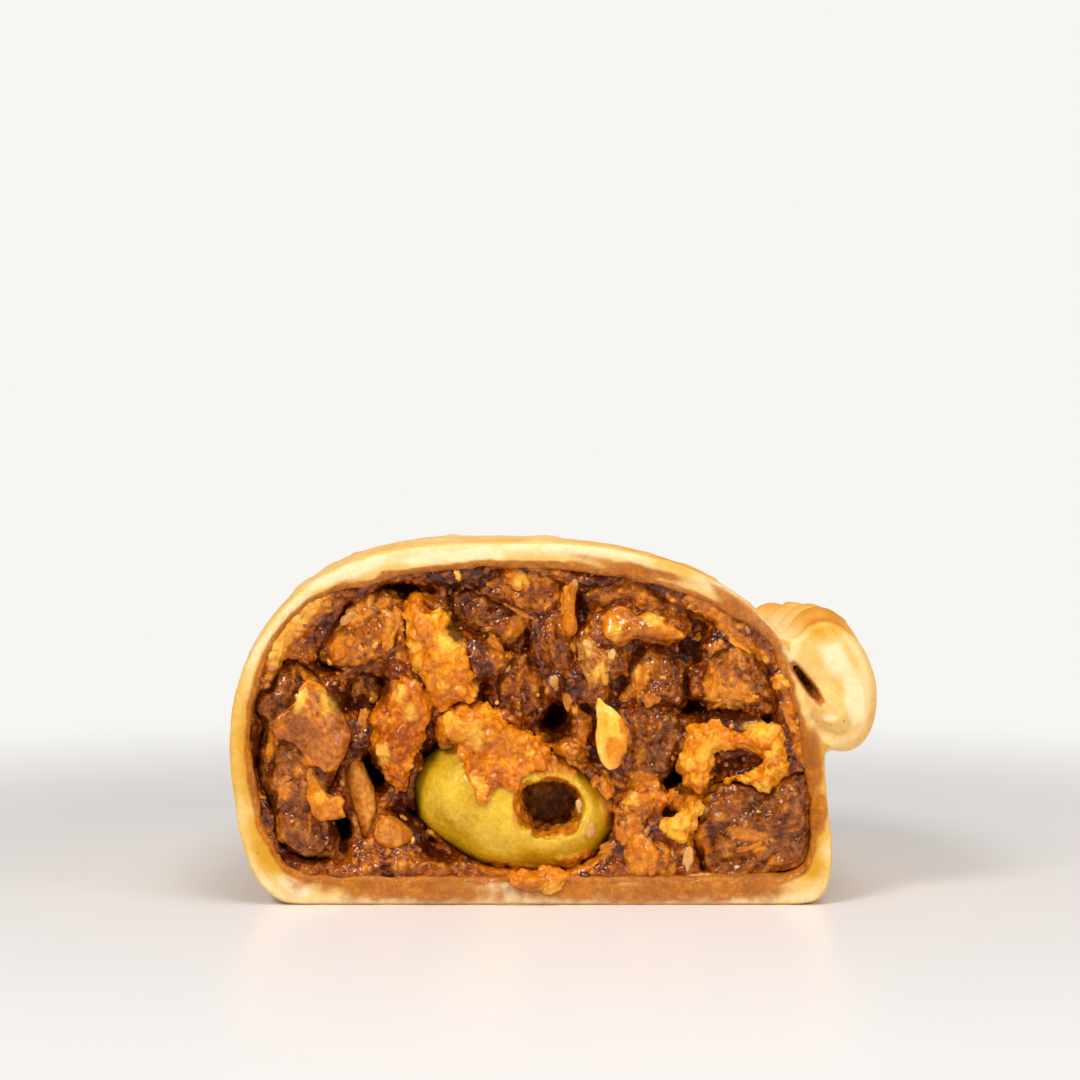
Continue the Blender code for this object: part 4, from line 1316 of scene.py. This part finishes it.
def build_crumbs(front, name, count, size, seed, on_foods):
    """Crumbs strewn over the filling where it shows, on some foods only."""
    draw = random.Random(seed)
    blobs = []
    for _ in range(40 * count):
        x, z = draw.uniform(LEFT + 4, RIGHT - 4), draw.uniform(4.4, HEIGHT - 3.6)
        radius = size[0] + (size[1] - size[0]) * draw.random() ** 2
        half = [radius * draw.uniform(0.9, 2.0), radius, radius * draw.uniform(0.5, 0.8)]
        turn = draw.uniform(0, math.pi)
        spot, normal, under = front.meet(x, z)
        if spot is None or spot.y > CUT_Y + 6.5 or under not in on_foods:
            continue
        blobs.append((spot - normal * radius * 0.1, ways_on(normal, turn), half))
        if len(blobs) == count:
            break
    return joined_blobs(name, blobs, 0.5, 2, seed)


# ---------------------------------------------------------------- materials


class Paint:
    """A material's nodes, with short calls for what the foods share. Sizes are in mm."""

    def __init__(self, name):
        self.material = bpy.data.materials.new(name)
        self.material.use_nodes = True
        self.nodes = self.material.node_tree.nodes
        self.links = self.material.node_tree.links
        self.shader = self.nodes["Principled BSDF"]
        self.space = self.nodes.new("ShaderNodeTexCoord").outputs["Object"]

    def put(self, socket, value):
        if isinstance(value, bpy.types.NodeSocket):
            self.links.new(value, socket)
        elif isinstance(value, tuple) and len(value) == 3 and socket.type == "RGBA":
            socket.default_value = (*value, 1.0)
        else:
            socket.default_value = value

    def set(self, **values):
        """Sets the shader's own sockets, or links them."""
        for name, value in values.items():
            self.put(self.shader.inputs[name.replace("_", " ")], value)

    def stored(self, name):
        node = self.nodes.new("ShaderNodeAttribute")
        node.attribute_name = name
        return node.outputs["Fac"]

    def noise(self, size, detail=3.0, rough=0.55):
        node = self.nodes.new("ShaderNodeTexNoise")
        self.put(node.inputs["Vector"], self.space)
        self.put(node.inputs["Scale"], 1 / (size * MM))
        self.put(node.inputs["Detail"], detail)
        self.put(node.inputs["Roughness"], rough)
        return node.outputs[0]

    def cells(self, size):
        node = self.nodes.new("ShaderNodeTexVoronoi")
        self.put(node.inputs["Vector"], self.space)
        self.put(node.inputs["Scale"], 1 / (size * MM))
        return node.outputs["Distance"]

    def math(self, operation, a, b):
        node = self.nodes.new("ShaderNodeMath")
        node.operation = operation
        self.put(node.inputs[0], a)
        self.put(node.inputs[1], b)
        return node.outputs[0]

    def total(self, *shares):
        """The sum of (value, weight) pairs, and of a last plain number."""
        *pairs, start = shares
        result = start
        for value, weight in pairs:
            node = self.nodes.new("ShaderNodeMath")
            node.operation = "MULTIPLY_ADD"
            self.put(node.inputs[0], value)
            self.put(node.inputs[1], weight)
            self.put(node.inputs[2], result)
            result = node.outputs[0]
        return result

    def step(self, value, low, high):
        node = self.nodes.new("ShaderNodeMapRange")
        node.interpolation_type = "SMOOTHSTEP"
        self.put(node.inputs["Value"], value)
        self.put(node.inputs["From Min"], low)
        self.put(node.inputs["From Max"], high)
        return node.outputs["Result"]

    def scale(self, value, low, high):
        """A value from 0 to 1 laid between low and high."""
        return self.total((value, high - low), low)

    def ramp(self, value, *stops):
        node = self.nodes.new("ShaderNodeValToRGB")
        elements = node.color_ramp.elements
        while len(elements) < len(stops):
            elements.new(0.5)
        for element, (place, colour) in zip(elements, stops):
            element.position = place
            element.color = (*colour, 1.0)
        self.put(node.inputs["Fac"], value)
        return node.outputs["Color"]

    def mix(self, share, a, b):
        node = self.nodes.new("ShaderNodeMix")
        node.data_type = "RGBA"
        self.put(node.inputs[0], share)
        self.put(node.inputs[6], a)
        self.put(node.inputs[7], b)
        return node.outputs[2]

    def cover(self, colour, over, share, most):
        """A colour with another laid over it, at most so thickly."""
        return self.mix(self.math("MULTIPLY", share, most), colour, over)

    def bump(self, height, distance):
        node = self.nodes.new("ShaderNodeBump")
        self.put(node.inputs["Height"], height)
        self.put(node.inputs["Distance"], distance * MM)
        self.put(node.inputs["Strength"], 1.0)
        return node.outputs["Normal"]


# The wet coat of the filling.
COAT_ROUGHNESS, COAT_IOR = 0.05, 1.44
# Each food's colours from dark to light, as seen.
TONES = {
    "beef": ((80, 26, 0), (168, 84, 8), (234, 156, 46)),
    "mauve beef": ((82, 32, 2), (164, 88, 24), (218, 148, 70)),
    "egg": ((164, 70, 0), (232, 134, 10), (255, 196, 52)),
    "onion": ((130, 60, 6), (204, 116, 24), (248, 178, 76)),
    "garlic": ((226, 130, 10), (250, 186, 56), (255, 224, 136)),
    "olive": ((116, 88, 0), (210, 160, 0), (252, 216, 62)),
}
MASH_TONES = ((156, 68, 4), (222, 128, 14), (255, 188, 56))
PALE_TONES = ((238, 148, 24), (255, 196, 66), (255, 224, 130))
SAUCE_TONES = ((68, 17, 0), (150, 60, 0), (214, 118, 6))
STEW_TONES = ((66, 18, 0), (134, 58, 0), (178, 96, 4), (236, 152, 30))
STAIN_TONES = ((118, 50, 0), (182, 98, 0), (224, 150, 28))
MINCE_TONES = ((104, 50, 18), (158, 88, 36), (212, 142, 70))
SEED_TONES = ((184, 116, 44), (216, 152, 76), (240, 194, 122))
# The colour of the painted shade in holes and gaps.
DARK = (66, 17, 0)


def ramp_of(paint, value, tones):
    stops = [(k / (len(tones) - 1), seen(*tone)) for k, tone in enumerate(tones)]
    return paint.ramp(value, *stops)


def add_patches(paint, colour, small, large, raised):
    """Lays egg mash, then paler flesh and painted highlights over a colour, where the points ask for them."""
    grainy = paint.noise(0.4, 3.0, 0.65)
    mash_tone = paint.total((grainy, 0.8), (raised, 0.45), (large, 0.5), -0.4)
    asked = paint.total((paint.stored("mash"), 1.0), (small, 0.9), (raised, 0.35), (large, 0.4), -0.82)
    colour = paint.cover(colour, ramp_of(paint, mash_tone, MASH_TONES), paint.step(asked, 0.1, 0.75), 0.9)
    pale = paint.step(paint.total((paint.stored("pale"), 1.0), (small, 0.9), (raised, 0.4), -0.65), 0.0, 1.2)
    pale_tone = paint.total((grainy, 0.8), (raised, 0.5), -0.15)
    return paint.cover(colour, ramp_of(paint, pale_tone, PALE_TONES), pale, 0.85)


def add_painted_shade(paint, colour, small, raised, more=0.0):
    """Painted shade, in a dark sauce colour, over a colour where the points ask for it, and how much of it
    there is.
    """
    asked = paint.total((paint.stored("dark"), 1.0), (raised, -0.4), (small, 0.7), -0.25)
    dark = paint.math("MAXIMUM", paint.step(asked, 0.2, 0.85), more)
    return paint.cover(colour, seen(*DARK), dark, 0.9), dark


def food_material(food, contrast, gloss, wetness, depth, shine, sheen=0.05):
    """A cooked food: mottled flesh under mash and glossy sauce, which lies where the piece is sunken; the
    sauce is painted darker, as shade, where it is sunken or deep behind the cut, and shade is painted in
    holes.
    """
    paint = Paint(food)
    large, small = paint.noise(3.2, 3.0), paint.noise(0.75, 4.0, 0.6)
    tiny = paint.noise(0.45, 3.0, 0.65)
    raised, sunken, near = paint.stored("raised"), paint.stored("sunken"), paint.stored("near")
    # Partly the grain's own colour, partly painted light and shade: lighter on raised grain, darker in the
    # gaps between.
    tone = paint.total(
        (large, 1.1 * contrast), (small, 0.9 * contrast), (raised, 0.45 * contrast),
        (paint.stored("tone"), 1.0), (tiny, 1.1 * contrast), (paint.stored("own"), 0.3 * contrast),
        -1.92 * contrast,
    )
    flesh = ramp_of(paint, tone, TONES[food])
    if food == "beef":
        mauve = paint.step(paint.total((paint.stored("mauve"), 1.0), (large, 0.8), -0.4), 0.25, 0.6)
        flesh = paint.mix(mauve, flesh, ramp_of(paint, tone, TONES["mauve beef"]))
    colour = add_patches(paint, flesh, small, large, raised)
    # Painted shade: the sauce is darker the deeper behind the cut and the more sunken it lies.
    sauce_and_shade_tone = paint.total((large, 0.7), (small, 0.6), (paint.stored("deep"), -0.6), (sunken, -0.3), 0.05)
    wet = paint.step(
        paint.total((sunken, 0.7), (near, 0.3), (raised, -0.4), (large, 0.6), (small, 0.35), wetness - 0.7),
        0.15, 0.75,
    )
    colour = paint.cover(colour, ramp_of(paint, sauce_and_shade_tone, SAUCE_TONES), wet, 0.85)
    colour, dark = add_painted_shade(paint, colour, small, raised)
    rough = paint.total((wet, -0.22), (small, 0.3), gloss)
    height = paint.total((small, 1.0), (tiny, 0.9), 0.0)
    paint.set(
        Base_Color=colour, Roughness=paint.math("MAXIMUM", rough, 0.14),
        Specular_IOR_Level=sheen,
        Subsurface_Weight=0.2, Subsurface_Radius=(1.0, 0.4, 0.15), Subsurface_Scale=0.8 * MM,
        Coat_Weight=paint.total((wet, 0.3), (dark, -1.2), shine),
        Coat_Roughness=COAT_ROUGHNESS, Coat_IOR=COAT_IOR,
        Normal=paint.bump(height, depth),
    )
    paint.put(paint.shader.inputs["Coat Normal"], paint.bump(paint.noise(0.9, 1.0), depth * 2.6))
    return paint.material


def sauce_material():
    """The stew: lumps from dark to orange, each its own, in darker sauce, with shade painted into its
    hollows, its grain gaps and far behind the cut.
    """
    paint = Paint("stew")
    large, small = paint.noise(2.6, 3.0), paint.noise(0.7, 4.0, 0.6)
    tiny = paint.noise(0.45, 3.0, 0.65)
    raised, sunken, deep = paint.stored("raised"), paint.stored("sunken"), paint.stored("deep")
    # Painted light and shade: lighter on raised grain, darker in hollows and the deeper behind the cut.
    tone = paint.total(
        (large, 0.7), (small, 0.8), (raised, 0.4), (deep, -0.7), (sunken, -0.2),
        (paint.stored("own"), 0.75), (tiny, 0.95), -1.42,
    )
    colour = add_patches(paint, ramp_of(paint, tone, STEW_TONES), small, large, raised)
    wet = paint.step(paint.total((sunken, 0.8), (raised, -0.5), (large, 0.5), (deep, 0.3), -0.1), 0.2, 0.8)
    sauce_and_shade_tone = paint.total((large, 0.6), (small, 0.5), (deep, -0.7), (sunken, -0.35), 0.05)
    colour = paint.cover(colour, ramp_of(paint, sauce_and_shade_tone, SAUCE_TONES), wet, 0.85)
    # Painted shade in holes and gaps, and over all the stew far behind the cut.
    colour, dark = add_painted_shade(paint, colour, small, raised, paint.step(deep, 0.5, 0.95))
    height = paint.total((small, 1.0), (tiny, 0.9), 0.0)
    paint.set(
        Base_Color=colour, Roughness=paint.scale(small, 0.22, 0.45),
        Specular_IOR_Level=0.05,
        Subsurface_Weight=0.2, Subsurface_Radius=(1.0, 0.35, 0.1), Subsurface_Scale=0.8 * MM,
        Coat_Weight=paint.total((dark, -1.1), (sunken, -0.4), (deep, -0.4), 1.0),
        Coat_Roughness=COAT_ROUGHNESS, Coat_IOR=COAT_IOR,
        Normal=paint.bump(height, 0.14),
    )
    paint.put(paint.shader.inputs["Coat Normal"], paint.bump(paint.noise(0.9, 1.0), 0.42))
    return paint.material


def crumb_material(name, tones):
    paint = Paint(name)
    small = paint.noise(0.5, 3.0)
    tone = paint.total((paint.stored("own"), 0.9), (small, 0.6), -0.25)
    paint.set(
        Base_Color=ramp_of(paint, tone, tones), Roughness=0.34, Subsurface_Weight=0.25,
        Subsurface_Radius=(1.0, 0.5, 0.2), Subsurface_Scale=0.6 * MM, Coat_Weight=0.5, Coat_Roughness=0.1,
        Normal=paint.bump(small, 0.06),
    )
    return paint.material


def crust_material():
    """Pale baked dough: golden where it is raised or folded, cream at the cut, stained by the filling."""
    paint = Paint("crust")
    broad, large, small = paint.noise(14.0, 3.0), paint.noise(3.5, 4.0, 0.6), paint.noise(0.8, 4.0, 0.6)
    tiny = paint.noise(0.25, 3.0, 0.6)
    gold, flour = paint.stored("gold"), paint.stored("flour")
    baked = paint.total(
        (paint.stored("bake"), 1.0), (broad, 0.4), (large, 0.3), (small, 0.2), (gold, 0.3), (flour, -0.3),
        -0.45,
    )
    outside = paint.ramp(
        baked, (0.0, seen(240, 208, 152)), (0.3, seen(236, 190, 116)), (0.65, seen(226, 160, 68)),
        (1.0, seen(206, 132, 44)),
    )
    face_tone = paint.total((large, 0.6), (small, 0.5), (broad, 0.3), (gold, -0.55), (flour, 0.6), -0.12)
    face = paint.ramp(
        face_tone, (0.0, seen(214, 154, 36)), (0.35, seen(224, 176, 80)), (0.7, seen(238, 202, 132)),
        (1.0, seen(246, 224, 178)),
    )
    colour = paint.mix(paint.stored("cut"), outside, face)
    stain_tone = paint.total((large, 0.8), (small, 1.1), (tiny, 0.6), -0.8)
    stain = paint.step(
        paint.total((paint.stored("stain"), 1.0), (large, 0.9), (small, 0.8), (broad, 0.3), -1.02), 0.0, 0.85,
    )
    colour = paint.cover(colour, ramp_of(paint, stain_tone, STAIN_TONES), stain, 0.92)
    specks = paint.step(paint.cells(2.1), 0.11, 0.05)
    specks = paint.math("MULTIPLY", specks, paint.step(paint.noise(4.0, 1.0), 0.5, 0.6))
    colour = paint.cover(colour, seen(120, 66, 26), specks, 0.5)
    rough = paint.total((stain, -0.2), (small, 0.2), 0.45)
    height = paint.total((small, 1.0), (tiny, 0.5), (large, 0.6), 0.0)
    paint.set(
        Base_Color=colour, Roughness=rough, Specular_IOR_Level=0.14,
        Subsurface_Weight=0.25, Subsurface_Radius=(1.0, 0.6, 0.3), Subsurface_Scale=1.2 * MM,
        Coat_Weight=paint.total((stain, 0.25), 0.03), Coat_Roughness=0.15,
        Normal=paint.bump(height, 0.12),
    )
    return paint.material


# ---------------------------------------------------------------- the crust's surface

# Patches on the cut face of the dough, as the photograph shows them: column, row, half width, half
# height and clockwise tilt in degrees. First stains of sauce, then golden dough, then floury dough.
STAIN_SPOTS = [
    (400, 888, 90, 18, 2), (330, 880, 36, 9, 8), (440, 897, 60, 9, 0), (565, 890, 56, 16, 0),
    (650, 896, 70, 12, 0), (740, 892, 50, 12, 0), (318, 618, 44, 14, -45), (286, 646, 12, 26, 30),
    (748, 616, 56, 9, 42), (778, 660, 10, 30, -26), (816, 762, 8, 40, -6), (822, 812, 7, 18, 0),
    (262, 800, 8, 50, -14), (430, 574, 50, 5, 0), (650, 572, 60, 5, 12), (812, 745, 7, 14, 0),
    (540, 566, 60, 5, 0),
]
GOLD_SPOTS = [
    (238, 745, 14, 80, 0), (262, 850, 16, 40, -34), (300, 630, 60, 10, -48), (820, 800, 14, 70, 0),
    (815, 868, 24, 12, 0), (800, 618, 36, 16, 20), (838, 622, 20, 14, 20), (690, 572, 50, 6, 15),
]
FLOUR_SPOTS = [
    (292, 889, 22, 8, 26), (505, 893, 28, 8, 4), (350, 572, 44, 6, -22), (450, 556, 60, 7, -4),
    (856, 700, 10, 22, -10), (836, 660, 10, 18, -34), (716, 584, 34, 5, 24), (776, 622, 10, 22, -40),
    (830, 718, 7, 4, 0),
]


def finish_crust(field, wall, seam, cavity, points, quads):
    obj = make_object("crust_look", points, quads)
    hidden = eased_step(CUT_Y + 7.0, CUT_Y + 9.0, points[:, 1]) * (np.abs(cavity.at(points)) < 0.5)
    thin_out(obj, hidden, CRUST_SHARE, field)
    refine(obj, lambda middles: middles[:, 1] < CUT_Y + 1.4)
    points, normals = points_of(obj), normals_of(obj)
    inside = eased_step(-1.0, -0.3, -np.abs(cavity.at(points)))
    face = eased_step(1.3, 0.4, points[:, 1] - CUT_Y) * eased_step(0.3, 0.75, -normals[:, 1])
    outer = (1 - inside) * (1 - face)
    flat = eased_step(0.6, 0.1, points[:, 2])

    lumps = 0.16 * rough(points, 7.0, 3, 70) + 0.05 * rough(points, 1.6, 3, 71)
    blister, own = grains(points + 0.6 * ripples(points, 2.0, 72)[:, None], 3.1, 73)
    blisters = 0.22 * eased_step(0.35, 0.9, blister) * (own > 0.78)
    crumb = 0.09 * rough(points, 1.7, 3, 74) - 0.05 * (1 - grains(points, 0.8, 75)[0])
    soaked = 0.22 * rough(points, 1.1, 3, 80) * patches_over(points, STAIN_SPOTS, 77)
    moved = (lumps + blisters) * outer * (1 - flat)
    moved = moved + (lumps * 0.5 + crumb * 1.6 + soaked) * face + crumb * inside
    push(obj, moved)
    points = points_of(obj)

    lobe = eased_step(1.0, 5.5, wall.at(points))
    crest = eased_step(0.4, 1.0, normals[:, 2]) * eased_step(0.5, 3.0, wall.at(points))
    top = eased_step(30.0, 42.0, points[:, 2])
    under = eased_step(1.5, 0.2, points[:, 2])
    spots = eased_step(0.35, 0.85, rough(points, 9.0, 3, 76) * 0.5 + 0.5)
    bake = 0.22 + 0.3 * lobe + 0.34 * crest + 0.14 * top + 0.3 * under + 0.3 * (spots - 0.5)
    at_cut = np.maximum(face, inside)
    edge = eased_step(1.6, 0.1, np.abs(cavity.at(points))) * at_cut
    stain = 0.3 * edge + 0.9 * inside + 0.92 * patches_over(points, STAIN_SPOTS, 77) * at_cut
    from_slit = ellipsoid(points, (SLIT["x"], CUT_Y, SLIT["z"]), rotated_ways(SLIT["tilt"]), SLIT["half"])
    stain = np.maximum(stain, eased_step(0.5, 0.1, from_slit))
    # On the cut face the dough is paler towards its skin, which is a thin golden line.
    skin = np.minimum(wall.at(points), seam.at(points))
    gold = np.maximum(patches_over(points, GOLD_SPOTS, 78), 0.9 * face * eased_step(-0.3, -0.05, skin))
    pale = 0.55 * face * eased_step(-1.9, -0.7, skin) * eased_step(-0.1, -0.3, skin)
    flour = np.maximum(patches_over(points, FLOUR_SPOTS, 79), pale)
    keep(obj, bake=np.clip(bake, 0, 1), cut=face, stain=np.clip(stain, 0, 1), gold=gold, flour=flour)
    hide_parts("crust")
    return obj



# ---------------------------------------------------------------- the setting


# The even light of the room, and how much of it shows as sheen.
WORLD_LIGHT, WORLD_SHEEN = 0.45, 0.05
# The lamps: place in metres, size and power. They are a little warm.
LIGHTS = [
    ("key", (-0.30, -0.50, 0.48), 0.20, 2.6),
    ("glint", (0.16, -0.46, 0.50), 0.12, 0.5),
    ("fill", (0.50, -0.42, 0.26), 0.30, 0.9),
    ("top", (0.10, -0.14, 0.62), 0.36, 1.5),
]
LAMP_COLOUR = (1.0, 0.955, 0.87)
BACKDROP = (248, 246, 243)


def add_light(name, place, size, power):
    lamp = bpy.data.lights.new(name, "AREA")
    lamp.size = size
    lamp.energy = power
    lamp.color = LAMP_COLOUR
    obj = bpy.data.objects.new(name, lamp)
    bpy.context.scene.collection.objects.link(obj)
    obj.location = place
    obj.rotation_mode = "QUATERNION"
    obj.rotation_quaternion = (Vector((0.0, -0.02, 0.02)) - Vector(place)).to_track_quat("-Z", "Y")


def add_setting():
    scene = bpy.context.scene
    camera = bpy.data.objects.new("camera", bpy.data.cameras.new("camera"))
    scene.collection.objects.link(camera)
    camera.data.lens = CAMERA_LENS
    camera.data.sensor_width = SENSOR
    away = PHOTO_SIZE * PIXEL * CAMERA_LENS / SENSOR * MM
    middle_x, middle_z = on_cut(PHOTO_SIZE / 2, PHOTO_SIZE / 2)
    aim = Vector((middle_x, CUT_Y, middle_z)) * MM
    camera.location = aim + Vector((0.0, -math.cos(CAMERA_UP), math.sin(CAMERA_UP))) * away
    camera.rotation_euler = (math.pi / 2 - CAMERA_UP, 0.0, 0.0)
    camera.data.clip_start = 0.01
    scene.camera = camera

    for light in LIGHTS:
        add_light(*light)

    world = bpy.data.worlds.new("studio")
    scene.world = world
    world.use_nodes = True
    nodes, links = world.node_tree.nodes, world.node_tree.links
    backdrop = nodes["Background"]
    backdrop.inputs["Color"].default_value = (*seen(*BACKDROP), 1.0)
    light = nodes.new("ShaderNodeBackground")
    light.inputs["Color"].default_value = (1.0, 0.99, 0.97, 1.0)
    choose, path = nodes.new("ShaderNodeMixShader"), nodes.new("ShaderNodeLightPath")
    strength = nodes.new("ShaderNodeMapRange")
    strength.inputs["To Min"].default_value = WORLD_LIGHT
    strength.inputs["To Max"].default_value = WORLD_SHEEN
    links.new(path.outputs["Is Glossy Ray"], strength.inputs["Value"])
    links.new(strength.outputs["Result"], light.inputs["Strength"])
    links.new(path.outputs["Is Camera Ray"], choose.inputs["Fac"])
    links.new(light.outputs[0], choose.inputs[1])
    links.new(backdrop.outputs[0], choose.inputs[2])
    links.new(choose.outputs[0], nodes["World Output"].inputs["Surface"])
    scene.view_settings.view_transform = "Standard"

    floor = bpy.data.objects.new("floor", bpy.data.meshes.new("floor"))
    scene.collection.objects.link(floor)
    bm = bmesh.new()
    bmesh.ops.create_circle(bm, cap_ends=True, segments=96, radius=3.0)
    bm.to_mesh(floor.data)
    bm.free()
    paint = Paint("floor")
    tint = paint.ramp(paint.noise(60.0, 2.0), (0.0, seen(236, 234, 237)), (1.0, seen(240, 239, 243)))
    paint.set(Base_Color=tint, Roughness=0.35, Specular_IOR_Level=0.35)
    glow = paint.nodes.new("ShaderNodeEmission")
    paint.put(glow.inputs["Color"], seen(*BACKDROP))
    length = paint.nodes.new("ShaderNodeVectorMath")
    length.operation = "LENGTH"
    paint.put(length.inputs[0], paint.space)
    fade = paint.step(length.outputs["Value"], 0.07, 0.19)
    blend = paint.nodes.new("ShaderNodeMixShader")
    paint.put(blend.inputs[0], fade)
    paint.put(blend.inputs[1], paint.shader.outputs[0])
    paint.put(blend.inputs[2], glow.outputs[0])
    paint.put(paint.nodes["Material Output"].inputs["Surface"], blend.outputs[0])
    floor.data.materials.append(paint.material)


# ---------------------------------------------------------------- all together


def make_materials():
    return {
        "crust": crust_material(),
        "beef": food_material("beef", 0.9, 0.42, 0.1, 0.16, 0.8),
        "egg": food_material("egg", 0.9, 0.34, -0.1, 0.10, 0.8),
        "onion": food_material("onion", 0.8, 0.28, 0.0, 0.06, 0.8),
        "garlic": food_material("garlic", 0.7, 0.34, -0.35, 0.04, 0.3),
        "olive": food_material("olive", 0.5, 0.3, -0.4, 0.03, 0.4, 0.4),
        "stew": sauce_material(),
        "egg_crumbs": crumb_material("egg_crumbs", MASH_TONES),
        "mince_crumbs": crumb_material("mince_crumbs", MINCE_TONES),
        "pale_seeds": crumb_material("pale_seeds", SEED_TONES),
    }


def finish_stew(stew, middles):
    """The stew's mesh, coarse where it is hidden, with its grain and each lump's own number."""
    points, quads = main_body(*stew.mesh())
    body = make_object("stew_look", points, quads)
    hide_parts("stew")
    start, grain_end, end = [CUT_Y + depth for depth in FINE_DEPTH]
    thin_out(body, eased_step(start, end, points[:, 1]), STEW_SHARE, stew)
    points = points_of(body)
    bent = points + 0.3 * ripples(points, 1.4, 93)[:, None]
    small, own = grains(bent, 1.05, 90)
    fine, _ = grains(bent, 0.5, 94)
    in_front = eased_step(end, grain_end, points[:, 1])
    push(body, (0.17 * (small - 0.5) + 0.1 * rough(points, 1.2, 2, 91) + 0.06 * fine) * in_front)
    tree = KDTree(len(middles))
    for k, middle in enumerate(middles):
        tree.insert(middle, k)
    tree.balance()
    lump = np.array([tree.find(point)[1] for point in points.tolist()])
    keep(body, raised=small, own=0.65 * SPOTS[lump % TABLE, 1] + 0.35 * own)
    return body


def main():
    add_setting()
    materials = make_materials()

    def dress(obj, name):
        obj.data.materials.clear()
        obj.data.materials.append(materials[name])

    crust_parts = build_crust()
    cavity = crust_parts[3]
    dress(finish_crust(*crust_parts), "crust")
    pieces = build_pieces()
    stew, nearest, second, front, middles = build_sauce(pieces, cavity)
    body = finish_stew(stew, middles)

    # How enclosed each spot is by the filling; the materials paint shade where this makes it sunken.
    filled = np.clip(0.5 - np.minimum(nearest.values, front.values) / 0.6, 0, 1)
    hollow = Field(softened(filled, 12), nearest.low, STEW_STEP)
    for k, (obj, look) in enumerate(zip(pieces, PIECES.values())):
        food, _, _, mash, _ = look
        note_surroundings(obj, second, hollow, mash, 500 + 10 * k)
        dress(obj, food)
    note_surroundings(body, nearest, hollow, 0.0, 92)
    dress(body, "stew")

    front = Front([*pieces, body])
    for name, table, food, uneven, thickness, sunk, seed, tone in (
        ("egg_bits", EGG_BITS, "egg", 0.4, 0.8, 0.25, 62, 0.6),
        ("onion_bits", ONION_BITS, "onion", 0.45, 0.5, 0.5, 63, 0.45),
    ):
        bits = build_bits(front, name, table, uneven, thickness, sunk, seed)
        points = points_of(bits)
        relief, raised, _ = RELIEFS[food](points, 0, seed)
        push(bits, relief * 0.4)
        keep(bits, raised=np.clip(raised, 0, 1), tone=np.full(len(points), tone))
        note_surroundings(bits, nearest, hollow, 0.0, seed)
        dress(bits, food)
    dress(build_bits(front, "pale_seeds", PALE_SEEDS, 0.3, 0.7, 0.2, 60), "pale_seeds")
    for name, food, count, seed in (("egg_crumbs", "egg", 90, 65), ("mince_crumbs", "beef", 180, 66)):
        dress(build_crumbs(front, name, count, CRUMB_SIZE, seed, ("beef", "stew")), name)


main()
